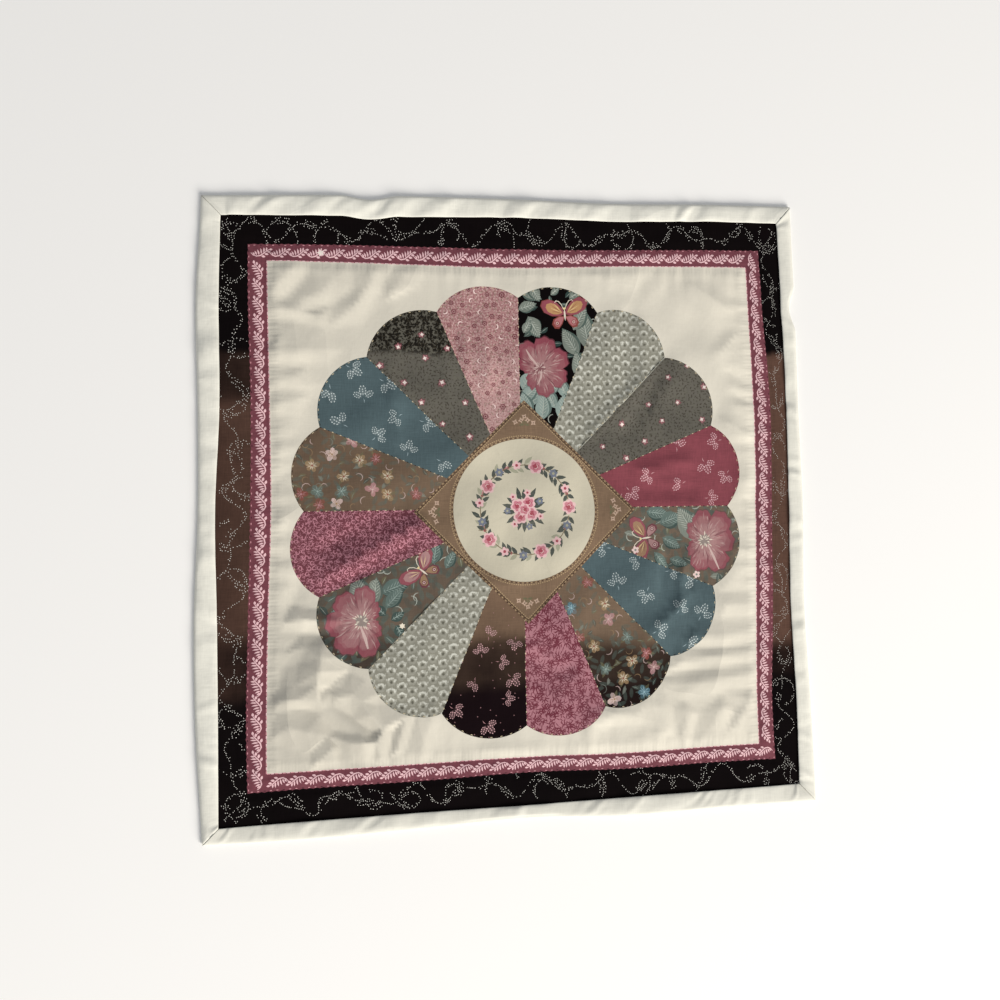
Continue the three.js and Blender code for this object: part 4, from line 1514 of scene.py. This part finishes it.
# The binding's section, from its front inner edge over the outer fold to its back inner edge:
# share of the front leaf's width or millimetres in from the fold, height, and how far it ripples
SECTION = (
    ("share", 1.000, TOP_Z - 0.35, 0.55), ("share", 0.985, TOP_Z - 0.12, 0.6),
    ("share", 0.95, TOP_Z + 0.02, 0.7), ("share", 0.88, TOP_Z + 0.12, 0.85),
    ("share", 0.78, TOP_Z + 0.2, 1.0), ("share", 0.67, TOP_Z + 0.24, 1.0),
    ("share", 0.55, TOP_Z + LEAF_CROWN, 1.0), ("share", 0.43, TOP_Z + 0.24, 1.0),
    ("share", 0.32, TOP_Z + 0.18, 0.9), ("share", 0.22, TOP_Z + 0.08, 0.7),
    ("inward", 2.4, TOP_Z, 0.5), ("inward", 1.5, TOP_Z - 0.2, 0.35),
    ("inward", 0.7, TOP_Z - 0.7, 0.2), ("inward", 0.2, TOP_Z * 0.66, 0.0),
    ("inward", 0.0, TOP_Z / 2, 0.0), ("inward", 0.2, TOP_Z * 0.28, 0.0), ("inward", 0.6, 0.4, 0.0),
    ("inward", 1.1, 0.12, 0.0), ("inward", 1.8, 0.0, 0.0), ("inward", 6.0, 0.0, 0.0),
    ("inward", BACK_LEAF - 0.3, 0.0, 0.0), ("inward", BACK_LEAF, 0.3, 0.0),
    ("inward", BACK_LEAF, BINDING_THICK, 0.0), ("inward", 2.0, BINDING_THICK, 0.0),
    ("inward", BINDING_THICK + 0.4, TOP_Z / 2, 0.0), ("inward", 2.0, FRONT_Z, 0.5),
    ("share", 0.5, FRONT_Z, 1.0), ("share", 0.97, FRONT_Z, 0.55),
)

# Turns a place on the top side to the same place on another, going round clockwise
ON_SIDE = {
    "top": lambda along, away: (along, away),
    "right": lambda along, away: (away, -along),
    "bottom": lambda along, away: (-along, -away),
    "left": lambda along, away: (-away, along),
}

# Single creases of the binding: side, place along it, lean, rise and half width
TUCKS = (
    ("left", -192, 0.35, 0.9, 6), ("left", -150, -0.3, 0.6, 5), ("left", 60, 0.25, 0.5, 8),
    ("bottom", -236, 0.7, 0.8, 5), ("bottom", 236, 0.8, 0.8, 6), ("bottom", -90, 0.9, 0.6, 6),
    ("top", -121, 0.2, 0.7, 10), ("top", -60, -0.9, 0.5, 7), ("top", 150, 0.7, 0.5, 7),
    ("right", 232, 0.8, 0.8, 5), ("right", 150, -0.4, 0.5, 8), ("right", -140, 0.3, 0.5, 8),
)
HEM_STITCHES, HEM_PITCH = 15.5, 6.5  # place of the hem's stitches, in from the fold, and pitch
RIPPLE_LIMIT = 2.4  # no ripple of the front leaf stands higher


def strip_ripple(side, along, across):
    """How far the front leaf lifts: slanting swells, puckers at the hem stitches and tucks"""
    seed = list(ON_SIDE).index(side) + 2
    slant = 0.5 + 0.5 * undulation(along, along * 0, 90, seed + 60, 4)
    lean = along + across * slant
    broad = undulation(lean, across * 0.5, 36, seed, 7)
    small = undulation(lean, across * 0.3, 15, seed + 20, 7)
    here = smooth(-0.4, 1.0, undulation(along, along * 0, 55, seed + 40, 5))
    pucker = np.abs(np.sin(along * math.pi / HEM_PITCH + 0.9 * np.sin(along / 17)))
    height = 0.7 + 0.62 * broad + 0.5 * small * here
    height = height + 0.16 * pucker * hump(across - HEM_STITCHES, 6)
    for name, place, lean_by, rise, half in TUCKS:
        if name == side:
            height = height + rise * hump(along - place + lean_by * (across - 8), half)
    return np.clip(height, 0.0, RIPPLE_LIMIT)


def make_strip(side, material):
    """One side's binding: the section carried from mitre to mitre"""
    place = ON_SIDE[side]
    straight = HALF - MITRE_REACH
    along = np.linspace(-HALF, HALF, round(2 * HALF / STRIP_STEP) + 1)
    u, v = (np.broadcast_to(c, along.shape).astype(float) for c in place(along, HALF))
    outer = np.stack(lie(u, v, 0), 1)
    inner = np.stack(hem_point(u, v), 1)
    ends = {}
    for sign in (-1, 1):
        for reach in (straight, HALF):
            cu, cv = (np.array([float(c)]) for c in place(sign * reach, HALF))
            ends[sign, reach] = np.stack(hem_point(cu, cv), 1)[0]
    for k, at in enumerate(along):
        if abs(at) > straight:
            sign = 1 if at > 0 else -1
            t = (abs(at) - straight) / MITRE_REACH
            inner[k] = ends[sign, straight] * (1 - t) + ends[sign, HALF] * t
    clear = np.array(place(1.0, 0.0)) * (GAP / 2) * math.sqrt(2)  # kept from the next strip
    squeeze = smooth(straight, HALF, np.abs(along)) * np.sign(along)
    width = np.abs(outer - inner).max(1)
    shift = np.array(plate_shift())
    rows, marks, across = [], [], 0.0
    for kind, amount, z, sway in SECTION:
        t = np.full_like(along, amount) if kind == "share" else amount / width
        spot = outer + (inner - outer) * t[:, None] - clear * squeeze[:, None]
        height = z + sway * strip_ripple(side, along, t * width)
        rows.append(np.column_stack([spot + shift, height]) * MM)
        across += float(np.linalg.norm((rows[-1] - rows[-2:][0])[:200], axis=1).mean())
        marks.append(across)
    rows = np.stack(rows, 1)
    stations, count = rows.shape[:2]
    faces = []
    for s in range(stations - 1):
        for k in range(count):
            here, after = s * count + k, s * count + (k + 1) % count
            faces.append((here, here + count, after + count, after))
    last = (stations - 1) * count
    flat = [Vector((-LEAF * a if kind == "share" else -a, z, 0)) for kind, a, z, _ in SECTION]
    for a, b, c in tessellate_polygon([flat]):
        faces += [(a, b, c), (last + c, last + b, last + a)]
    mesh = bpy.data.meshes.new(f"cotton_binding_{side}")
    mesh.from_pydata(rows.reshape(-1, 3).tolist(), [], faces)
    mesh.materials.append(material)
    mesh.validate()
    spread = np.stack([np.repeat(along * MM, count), np.tile(marks, stations)], 1)
    spread = spread[vertex_of_corner(mesh)]
    mesh.uv_layers.new(name="Print").data.foreach_set("uv", spread.ravel())
    mesh.polygons.foreach_set("use_smooth", [True] * len(mesh.polygons))
    return new_object(f"cotton_binding_{side}", mesh)


def outward(piece):
    """Turns a closed piece's faces outwards if they point in"""
    mesh = piece.data
    mesh.calc_loop_triangles()
    volume = 0.0
    for triangle in mesh.loop_triangles:
        a, b, c = (mesh.vertices[k].co for k in triangle.vertices)
        volume += a.cross(b).dot(c)
    if volume < 0:
        mesh.flip_normals()


# ---- Materials ----

# Plain-woven cotton has about 28 threads to the centimetre, which is too fine to show. Its
# unevenness shows as slubs: thicker stretches of thread, about 0.9 mm across and 12 mm long.
SLUB_ACROSS = 1 / 0.0009
SLUB_ALONG = 1 / 0.012
BLOTCH = 1 / 0.045  # uneven washing and handling
CRUMPLE = 1 / 0.016  # the fine creases left by folding
WRINKLE, WRINKLE_ACROSS, WRINKLE_TURN = 1 / 0.05, 0.6, 0.9  # the crisp wrinkles, and how they lie
PATCH, PATCH_EDGE = 1 / 0.07, (0.42, 0.66)  # the places that have them
FADE_FROM, FADE_TO = 0.15, 1.15  # of the fade and the blotches together
LEAST_INK = 0.02  # less cover than this is none
CREASE_SHADE_MEAN = 0.55  # share of creases at which painted shade leaves the colour as it is
ROUGH = 0.76  # cotton's own roughness, a little more where it is blotched
STAR_WAVES = 5.0  # a star of ten leaves
STITCH_GATHER = 1 / 0.0042  # gathers between two quilting stitches
STITCH_RISE = 0.6  # how strongly they rise, in millimetres
ARCH_PITCH = 8.3  # repeat of the grey cloth's arches, in millimetres
ARCH_WANDER = 2.2  # how far the arches wander from their places
ARCH_WORN = 1 / 0.0035  # the size of their uneven places
ARCH_ROUGH, ARCH_TEETH = 1 / 0.0011, 0.24  # the size of the teeth at their edges, and their height
# Parts of an arch, as shares of its repeat: its radius, then the soft edges of its ring and of
# its crown, and of the dots inside the arches and between them
ARCH_RADIUS, ARCH_RING, ARCH_CROWN = 0.33, (0.16, 0.05), (-0.16, 0.06)
ARCH_DOT, ARCH_SMALL_DOT = (0.17, 0.08), (0.15, 0.07)
# Settings of nodes: a soft step from 0 at one value to 1 at another, and one colour over another
SOFT = {"interpolation_type": "SMOOTHSTEP"}
BLEND = {"data_type": "RGBA", "output": 2}


def add_node(tree, kind, *values, inputs=None, output=0, **settings):
    """Adds a node with its settings and gives one of its outputs. Its first inputs take the
    values in turn and others are named, each a value or a socket to link from."""
    node = tree.nodes.new("ShaderNode" + kind)
    for name, value in settings.items():
        setattr(node, name, value)
    for key, value in (*enumerate(values), *(inputs or {}).items()):
        if isinstance(value, bpy.types.NodeSocket):
            tree.links.new(value, node.inputs[key])
        else:
            node.inputs[key].default_value = value
    return node.outputs[output] if node.outputs else None


def product(add, first, *others):
    """Its terms multiplied, each a number or a socket"""
    for term in others:
        first = add("Math", first, term, operation="MULTIPLY")
    return first


def cell_places(add, place, cell, shift):
    """A random cell pattern: places within each cell, in cells, and a random value of each"""
    scale = 1 / (cell * MM)
    spread = {"Location": (cell, shift, 0), "Scale": (scale, scale, scale)}
    spread = add("Mapping", place, inputs=spread)
    cells = {"Vector": spread, "Scale": 1.0, "Randomness": 0.8}
    cells = add("TexVoronoi", inputs=cells, output="Position", voronoi_dimensions="2D")
    local = add("VectorMath", spread, cells, operation="SUBTRACT")
    return local, cells.node.outputs["Color"]


def flecks(add, place, cell, length, width, kind="leaf"):
    """Little leaves, curls or stars, one to a cell and each turned its own way: their cover"""
    local, chance = cell_places(add, place, cell, length)
    turned = {"Vector": local, "Angle": product(add, chance, 4 * math.tau)}
    turned = add("VectorRotate", inputs=turned, rotation_type="Z_AXIS")
    if kind == "star":
        reach = add("VectorMath", local, operation="LENGTH", output="Value")
        reach = product(add, reach, cell)
        x, y, _ = add("SeparateXYZ", turned).node.outputs
        heading = product(add, add("Math", y, x, operation="ARCTAN2"), STAR_WAVES)
        wave = add("Math", heading, operation="SINE")
        # how far it is to the side of the nearest leaf, less half the leaf's width there
        off = product(add, add("Math", wave, operation="ABSOLUTE"), 1 / STAR_WAVES, reach)
        swell = product(add, add("MapRange", reach, 0.4, 2.0, **SOFT), width / 2)
        swell = product(add, swell, add("MapRange", reach, length, length * 0.6, **SOFT))
        off = add("Math", off, swell, operation="SUBTRACT")
        # no leaf in the middle, past the tips or behind, so that half of the star is left
        ends = add("MapRange", reach, length, length - 0.6, **SOFT)
        ends = product(add, add("MapRange", reach, 0.5, 1.1, **SOFT), ends)
        ends = product(add, ends, add("MapRange", x, -0.12, -0.04, **SOFT))
        return product(add, add("MapRange", off, 0.1, -0.1, **SOFT), ends)
    squash = (2 * cell / length, 2 * cell / width, 0.0)
    stretched = add("VectorMath", turned, squash, operation="MULTIPLY")
    reach = add("VectorMath", stretched, operation="LENGTH", output="Value")
    if kind == "leaf":
        return add("MapRange", reach, 1.15, 0.75, **SOFT)
    side = add("MapRange", add("SeparateXYZ", stretched), -0.45, -0.2, **SOFT)
    off = add("Math", reach, 0.8, operation="SUBTRACT")
    off = add("Math", off, operation="ABSOLUTE")
    return product(add, add("MapRange", off, 0.28, 0.1, **SOFT), side)


def arches(add, place, uneven, rough):
    """Horseshoe arches, every second column set half a repeat higher: pairs of ink and cover"""
    wander = add("VectorMath", uneven, (0.5, 0.5, 0.5), operation="SUBTRACT")
    scale = {"Scale": ARCH_WANDER * MM}
    wander = add("VectorMath", wander, inputs=scale, operation="SCALE")
    spot = add("VectorMath", place, wander, operation="ADD")
    spot = add("VectorMath", spot, (1 / (ARCH_PITCH * MM),) * 3, operation="MULTIPLY")
    x, y, _ = add("SeparateXYZ", spot).node.outputs
    column = add("Math", x, operation="ROUND")
    x = add("Math", x, column, operation="SUBTRACT")
    raised = product(add, add("Math", column, 1.0, operation="PINGPONG"), 0.5)
    y = add("Math", y, raised, operation="SUBTRACT")
    y = add("Math", y, add("Math", y, operation="ROUND"), operation="SUBTRACT")

    def away(across, up):
        """How far a place is from the middle of what is drawn there"""
        to = add("CombineXYZ", across, up)
        return add("VectorMath", to, operation="LENGTH", output="Value")

    off = add("Math", away(x, y), ARCH_RADIUS, operation="SUBTRACT")
    off = add("Math", off, operation="ABSOLUTE")
    off = add("Math", off, ARCH_TEETH / 2, operation="SUBTRACT")
    off = add("Math", rough, ARCH_TEETH, off, operation="MULTIPLY_ADD")
    ring = add("MapRange", off, *ARCH_RING, **SOFT)
    crown = product(add, ring, add("MapRange", y, *ARCH_CROWN, **SOFT))
    patchy = add("SeparateXYZ", uneven, output=2)
    crown = product(add, crown, add("MapRange", patchy, 0.3, 0.6, **SOFT))
    dot = away(x, add("Math", y, 0.05, operation="ADD"))
    dot = add("MapRange", dot, *ARCH_DOT, **SOFT)
    beside = add("Math", x, operation="ABSOLUTE")
    beside = add("Math", beside, 0.5, operation="SUBTRACT")
    small = away(beside, add("Math", y, 0.22, operation="SUBTRACT"))
    small = add("MapRange", small, *ARCH_SMALL_DOT, **SOFT)
    return (
        ("arch white", product(add, ring, 0.16)),
        ("arch white", crown),
        ("arch white", product(add, small, 0.55)),
        ("arch dot", product(add, dot, 0.8)),
    )


def cotton(
    name, ground, faded=None, full=FADE_TO, inked=True, tone=0.3, weave=0.05, crumple=0.5,
    facets=0.7, gloss=0.2, sheen=0.05, crease_shade=0.0, figures=(),
):
    """Woven cotton: ground with its faded colour, slubs, figures, ink, creases and painted shade
    """
    material = bpy.data.materials.new(name)
    material.use_nodes = True
    material.node_tree.nodes.clear()
    add = partial(add_node, material.node_tree)
    place = add("UVMap", uv_map="Print")

    def noise(scale, detail, turn=0.0, output=0):
        """Unevenness with so many swells to the metre each way"""
        spread = {"Scale": (*scale, 1.0), "Rotation": (0, 0, turn)}
        inputs = {"Vector": add("Mapping", place, inputs=spread), "Scale": 1.0}
        inputs |= {"Detail": detail, "Roughness": 0.6}
        return add("TexNoise", inputs=inputs, output=output)

    def sum_of(*terms, start=0.0):
        """Adds pairs of a socket and how much of it"""
        for socket, amount in terms:
            start = add("Math", socket, amount, start, operation="MULTIPLY_ADD")
        return start

    weft = noise((SLUB_ALONG, SLUB_ACROSS), 2.0)
    warp = noise((SLUB_ACROSS, SLUB_ALONG), 2.0)
    blotch = noise((BLOTCH, BLOTCH), 3.0)
    creases = noise((CRUMPLE, CRUMPLE * 0.8), 3.0, 0.5)

    # the dye, paler where light has reached it, then the printed figures and inks, thinner where
    # the cloth is worn, and over all the shade between the threads
    colour = (*ground[:3], 1.0)
    fade = add("Attribute", attribute_name="fade", output="Fac")
    if faded:
        uneven = sum_of((blotch, 0.3), (fade, 1.0))
        cover = add("MapRange", uneven, FADE_FROM, full, **SOFT)
        colour = add("Mix", inputs={0: cover, 6: colour, 7: faded}, **BLEND)
    for figure in figures:
        if figure == "arches":
            worn = noise((ARCH_WORN, ARCH_WORN), 2.0, 0.0, "Color")
            inks = arches(add, place, worn, noise((ARCH_ROUGH, ARCH_ROUGH), 1.0))
        else:
            ink, cover, *shape = figure
            inks = ((ink, product(add, flecks(add, place, *shape), cover)),)
        for ink, cover in inks:
            thin = product(add, cover, sum_of((blotch, 0.8), (weft, 0.6), start=0.3))
            colour = add("Mix", inputs={0: thin, 6: colour, 7: linear(INKS[ink])}, **BLEND)
    if inked:
        ink = add("Attribute", attribute_name="ink").node.outputs
        cover = ink["Alpha"]
        worn = sum_of((blotch, -0.3), (weft, -0.3), (fade, -0.06), (cover, 1.0), start=0.29)
        gate = add("Math", cover, LEAST_INK, operation="GREATER_THAN")
        cover = add("Math", worn, gate, operation="MULTIPLY", use_clamp=True)
        colour = add("Mix", inputs={0: cover, 6: colour, 7: ink["Color"]}, **BLEND)
    shade = sum_of((weft, tone), (warp, tone), (blotch, tone * 0.6), start=1 - tone * 1.3)
    darker = {"blend_type": "MULTIPLY"} | BLEND
    colour = add("Mix", inputs={0: 1.0, 6: colour, 7: shade}, **darker)

    # crisp wrinkles in places, with painted shade where the cloth is most creased and towards the
    # left and top, slubs and fine creases, and the gathers beside the quilting
    spread = {"Rotation": (0, 0, WRINKLE_TURN), "Scale": (WRINKLE, WRINKLE * WRINKLE_ACROSS, 1.0)}
    around = {"Vector": add("Mapping", place, inputs=spread), "Scale": 1.0, "Detail": 0.0}
    around |= {"Roughness": 0.35, "Distortion": 0.5, "Offset": 1.0, "Gain": 1.0}
    flats = add("TexNoise", inputs=around, noise_type="RIDGED_MULTIFRACTAL")
    patches = add("MapRange", noise((PATCH, PATCH), 0.0), *PATCH_EDGE, **SOFT)
    flats = product(add, flats, patches)
    if inked:
        share = add("Attribute", attribute_name="crease_and_shade", output="Fac")
        flats = product(add, flats, share)
        # painted shade: darker where the crease share is above its mean, in the lower corners,
        # left and top
        painted_shade = sum_of((share, -crease_shade), start=1 + crease_shade * CREASE_SHADE_MEAN)
        colour = add("Mix", inputs={0: 1.0, 6: colour, 7: painted_shade}, **darker)
    height = sum_of((weft, weave), (warp, weave), (creases, crumple), (flats, facets))
    if inked:
        across = (STITCH_GATHER, STITCH_GATHER / 8)
        for layer, scale in (("gather_v", across), ("gather_u", across[::-1])):
            beside = add("Attribute", attribute_name=layer, output="Fac")
            rise = product(add, noise(scale, 1.0), beside)
            height = add("Math", rise, STITCH_RISE, height, operation="MULTIPLY_ADD")
    bump = add("Bump", inputs={"Height": height, "Distance": MM, "Strength": 1.0})
    rough = sum_of((blotch, 0.12), (weft, 0.06), start=ROUGH)
    look = {"Base Color": colour, "Roughness": rough, "Normal": bump, "IOR": 1.5}
    look |= {"Specular IOR Level": gloss, "Sheen Weight": sheen, "Sheen Roughness": 0.5}
    add("OutputMaterial", add("BsdfPrincipled", inputs=look), is_active_output=True)
    return material


# The small figures that are part of a cloth's own print: ink, cover, then the cell, length and
# width in millimetres, and what they are when they aren't leaves
FIGURES = {
    "grey": ("arches",),
    "charcoal": (
        ("charcoal dark", 0.7, 2.7, 2.4, 1.1), ("charcoal leaf", 0.5, 2.8, 2.9, 0.8),
        ("charcoal leaf", 0.8, 6.0, 3.3, 0.9, "star"),
    ),
    "pink": (
        ("leaf burgundy", 0.9, 3.2, 3.8, 0.75), ("leaf burgundy", 0.95, 7.2, 6.2, 0.75, "star"),
        ("leaf burgundy", 0.95, 9.4, 6.8, 0.85, "star"),
    ),
    "rose": (
        ("swirl pink", 0.4, 2.5, 2.2, 0.6), ("swirl pink", 0.75, 4.9, 4.6, 3.4, "curl"),
        ("swirl pink", 0.6, 3.4, 3.0, 2.0, "curl"),
    ),
    "dusty pink": (
        ("ring burgundy", 0.5, 2.3, 1.9, 0.9), ("rose light", 0.6, 2.5, 1.9, 0.9),
        ("olive", 0.4, 5.2, 3.0, 1.2),
    ),
    "brown": (("fern dark", 0.35, 9.5, 8.5, 3.4),),
    "plum": (("plum sprig", 0.5, 11.0, 0.9, 0.9),),
    "chintz brown": (("fern dark", 0.5, 9.0, 10.0, 4.2), ("teal deep", 0.3, 11.0, 12.0, 5.0)),
}


def make_cloths(colours):
    """Each cotton of the panel, by its name in the print"""

    def printed(name, ground, faded=None, **look):
        # roller-printed plain cotton: dull, and the dye sits unevenly on its slubs. Where light
        # has reached it the dye goes to the faded colour.
        look["figures"] = FIGURES.get(name, ())
        name = "printed_cotton_" + name.replace(" ", "_")
        return cotton(name, ground, linear(faded) if faded else None, **look)

    # bleached muslin: dull, slightly yellow, every crease shows, painted shade where creased
    muslin = {"crumple": 0.4, "facets": 1.3, "crease_shade": 0.13, "gloss": 0.35}
    muslin |= {"tone": 0.07, "weave": 0.02}
    # black and near-black dye takes all the light: no gloss and no sheen
    dark = {"gloss": 0.02, "sheen": 0.0}
    return {
        "muslin": cotton("muslin_ground", colours.muslin, **muslin),
        "medallion": cotton("muslin_medallion", colours.medallion, **(muslin | {"facets": 0.6})),
        "laurel band": printed("burgundy", colours.burgundy, tone=0.4),
        "black border": printed("black", colours.black, "#5E463C", tone=0.5, **dark),
        "hub": printed("hub brown", colours.hub, tone=0.5),
        "arches": printed("grey", colours.arches, tone=0.4),
        "charcoal": printed("charcoal", colours.charcoal, "#64615A", full=0.7, gloss=0.05),
        "crimson": printed("crimson", colours.crimson, tone=0.45),
        "chintz black": printed("chintz black", colours.black, **dark),
        "chintz brown": printed("chintz brown", linear("#2F2622"), "#6B5D50"),
        "slate": printed("slate", colours.slate, tone=0.45),
        "brown floral": printed("brown", linear("#1E1210"), "#786554", gloss=0.08),
        "pink leaf": printed("pink", colours.pink),
        "plum": printed("plum", colours.plum, "#7E6755", **dark),
        "rose swirl": printed("rose", colours.rose),
        "dusty pink": printed("dusty pink", colours.dusty, "#BE9896"),
        # the same muslin behind, unprinted
        "backing": cotton("muslin_backing", colours.muslin, inked=False, tone=0.2),
    }


# ---- Add-on ----

# Each side's binding is painted lighter or darker, as light and shade fall on it
STRIP_LIGHT_AND_SHADE = {"top": 1.06, "right": 1.0, "bottom": 0.88, "left": 1.03}  # painted light and shade

# A white floor, a hazy sky, and one large window to the right and in front, in metres
FLOOR_SIZE, FLOOR_COLOUR, FLOOR_ROUGH = 4.0, "#FAFAF9", 0.9
SKY_STRENGTH, SKY_COLOUR = 0.42, "#F4F6FA"
WINDOW_POWER, WINDOW_COLOUR = 305.0, "#FFF9F0"
WINDOW_SIZE = (3.0, 2.2)
WINDOW_PLACE = (2.3, -3.45, 2.15)

# The camera's axes and place, over the plate's middle, and its lens
CAMERA_RIGHT = (0.98509, -0.01994, 0.17087)
CAMERA_UP = (0.01210, 0.99883, 0.04683)
CAMERA_PLACE = (-173.70, -32.61, 892.25)
CAMERA_SENSOR, CAMERA_LENS = 36.0, 39.6


def paint(name, description, code):
    """A colour that a user may change"""
    limits = {"subtype": "COLOR", "size": 3, "min": 0.0, "max": 1.0}
    colour = linear(code)[:3]
    return FloatVectorProperty(name=name, description=description, default=colour, **limits)


def span(name, description, default, low, high):
    """A length in metres that a user may change, within limits"""
    limits = {"unit": "LENGTH", "min": low, "max": high}
    return FloatProperty(name=name, description=description, default=default, **limits)


class TopperSizes(bpy.types.PropertyGroup):
    """Sizes of the printed plate, and how strongly the cloth creases"""

    petal_reach: span(
        "Petal reach", "From the middle of the plate to the notches between its petals",
        0.178, 0.14, 0.185,
    )
    hub_reach: span(
        "Hub reach", "From the middle of the brown hub to its corners", 0.093, 0.085, 0.11
    )
    medallion_radius: span(
        "Medallion radius", "Radius of the cream medallion", 0.0595, 0.05, 0.062
    )
    laurel_repeat: span(
        "Laurel repeat", "Length of one branch of the laurel band", 0.0146, 0.012, 0.025
    )
    crease_lift: FloatProperty(
        name="Crease lift",
        description="How strongly the fine creases stand out, 1 as laid",
        default=1.0,
        min=0.0,
        max=1.5,
    )


class TopperColours(bpy.types.PropertyGroup):
    """Ground colours of the cottons"""

    muslin: paint("Muslin", "Ground round the plate, and the backing", "#DED9CB")
    medallion: paint("Medallion", "Cloth of the round medallion", "#CAC4B0")
    binding: paint("Binding", "Folded edge", "#E3E2D8")
    burgundy: paint("Burgundy", "Laurel band", "#733F49")
    black: paint("Black", "Outer border and dark chintz, unfaded", "#0E0A0B")
    hub: paint("Hub brown", "Diamond round the medallion", "#7C6652")
    arches: paint("Grey", "Petals with arches", "#8B8A7E")
    charcoal: paint("Charcoal", "Leafy dark petals, unfaded", "#1B1814")
    crimson: paint("Crimson", "Petal with sprigs", "#84434D")
    slate: paint("Slate", "Blue petals with sprigs", "#4D5F64")
    pink: paint("Pink", "Petal with burgundy leaves", "#AB7781")
    plum: paint("Plum", "Dark petal with sprigs, unfaded", "#160D10")
    rose: paint("Rose", "Petal with pink curls", "#6B3943")
    dusty: paint("Dusty pink", "Petal with small rings", "#AC8282")


class TOPPER_OT_panel(bpy.types.Operator):
    """Make the printed and quilted panel in place of its solid"""

    bl_idname = "topper.panel"
    bl_label = "Printed Panel"

    def execute(self, context):
        sizes = context.scene.topper_sizes
        lengths = {
            "petal": sizes.petal_reach / MM,
            "hub": sizes.hub_reach / MM,
            "medallion": sizes.medallion_radius / MM,
            "laurel": sizes.laurel_repeat / MM,
        }
        cloths = make_cloths(context.scene.topper_colours)
        piece = make_panel(lengths, sizes.crease_lift, cloths)
        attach(piece, "root")
        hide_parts("quilted_panel")
        return {"FINISHED"}


class TOPPER_OT_binding(bpy.types.Operator):
    """Make the four strips of the folded binding in place of their solids"""

    bl_idname = "topper.binding"
    bl_label = "Folded Binding"

    def execute(self, context):
        colours = context.scene.topper_colours
        for side, tone in STRIP_LIGHT_AND_SHADE.items():
            # plain cotton, washed and pressed: cooler than the muslin and a little smoother
            # the side's painted light and shade scales its colour
            ground = [part * tone for part in colours.binding]
            name = f"plain_cotton_binding_{side}"
            cloth = cotton(name, ground, inked=False, tone=0.18, crumple=0.6, facets=1.2)
            piece = make_strip(side, cloth)
            outward(piece)
            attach(piece, "root")
            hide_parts(f"binding_{side}")
        return {"FINISHED"}


class TOPPER_OT_stage(bpy.types.Operator):
    """Make the floor, the lights and the camera"""

    bl_idname = "topper.stage"
    bl_label = "Stage"

    def execute(self, context):
        scene = context.scene
        bpy.ops.object.select_all(action="DESELECT")
        bpy.ops.mesh.primitive_plane_add(size=FLOOR_SIZE, location=(0, 0, 0))
        floor = context.object
        floor.name = "topper_floor"
        # matt paper: no shine, so that only the cloth's own shadow shows on it
        paper = bpy.data.materials.new("matt_white_paper")
        paper.use_nodes = True
        shader = paper.node_tree.nodes["Principled BSDF"]
        shader.inputs["Base Color"].default_value = linear(FLOOR_COLOUR)
        shader.inputs["Roughness"].default_value = FLOOR_ROUGH
        floor.data.materials.append(paper)

        world = bpy.data.worlds.new("topper_world")
        world.use_nodes = True
        sky = world.node_tree.nodes["Background"]
        sky.inputs["Color"].default_value = linear(SKY_COLOUR)
        sky.inputs["Strength"].default_value = SKY_STRENGTH
        scene.world = world

        lamp = bpy.data.lights.new("topper_window", "AREA")
        lamp.shape = "RECTANGLE"
        lamp.size, lamp.size_y = WINDOW_SIZE
        lamp.energy = WINDOW_POWER
        lamp.color = linear(WINDOW_COLOUR)[:3]
        window = new_object("topper_window", lamp)
        window.location = WINDOW_PLACE
        window.rotation_euler = (-Vector(WINDOW_PLACE)).to_track_quat("-Z", "Y").to_euler()

        camera = bpy.data.cameras.new("topper_camera")
        camera.sensor_width, camera.lens = CAMERA_SENSOR, CAMERA_LENS
        holder = new_object("topper_camera", camera)
        right, up = Vector(CAMERA_RIGHT).normalized(), Vector(CAMERA_UP)
        up = (up - right * up.dot(right)).normalized()
        turn = Matrix((right, up, right.cross(up))).transposed().to_4x4()
        spot = Vector(CAMERA_PLACE) + Vector((*plate_shift(), 0))
        holder.matrix_world = Matrix.Translation(spot * MM) @ turn
        scene.camera = holder
        scene.view_settings.view_transform = "Standard"
        return {"FINISHED"}


class TOPPER_PT_sidebar(bpy.types.Panel):
    """Sizes, colours and steps of the topper"""

    bl_idname = "TOPPER_PT_sidebar"
    bl_label = "Table Topper"
    bl_space_type = "VIEW_3D"
    bl_region_type = "UI"
    bl_category = "Topper"

    def draw(self, context):
        layout = self.layout
        for group in (context.scene.topper_sizes, context.scene.topper_colours):
            box = layout.box()
            for name in group.__annotations__:
                box.prop(group, name)
        for step in STEPS:
            layout.operator(f"topper.{step}")


STEPS = ("stage", "panel", "binding")
CLASSES = (
    TopperSizes,
    TopperColours,
    TOPPER_OT_panel,
    TOPPER_OT_binding,
    TOPPER_OT_stage,
    TOPPER_PT_sidebar,
)


def register():
    for cls in CLASSES:
        bpy.utils.register_class(cls)
    bpy.types.Scene.topper_sizes = PointerProperty(type=TopperSizes)
    bpy.types.Scene.topper_colours = PointerProperty(type=TopperColours)


def unregister():
    del bpy.types.Scene.topper_colours
    del bpy.types.Scene.topper_sizes
    for cls in reversed(CLASSES):
        bpy.utils.unregister_class(cls)


def main():
    register()
    for step in STEPS:
        getattr(bpy.ops.topper, step)()
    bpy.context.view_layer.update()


if __name__ == "__main__":
    main()
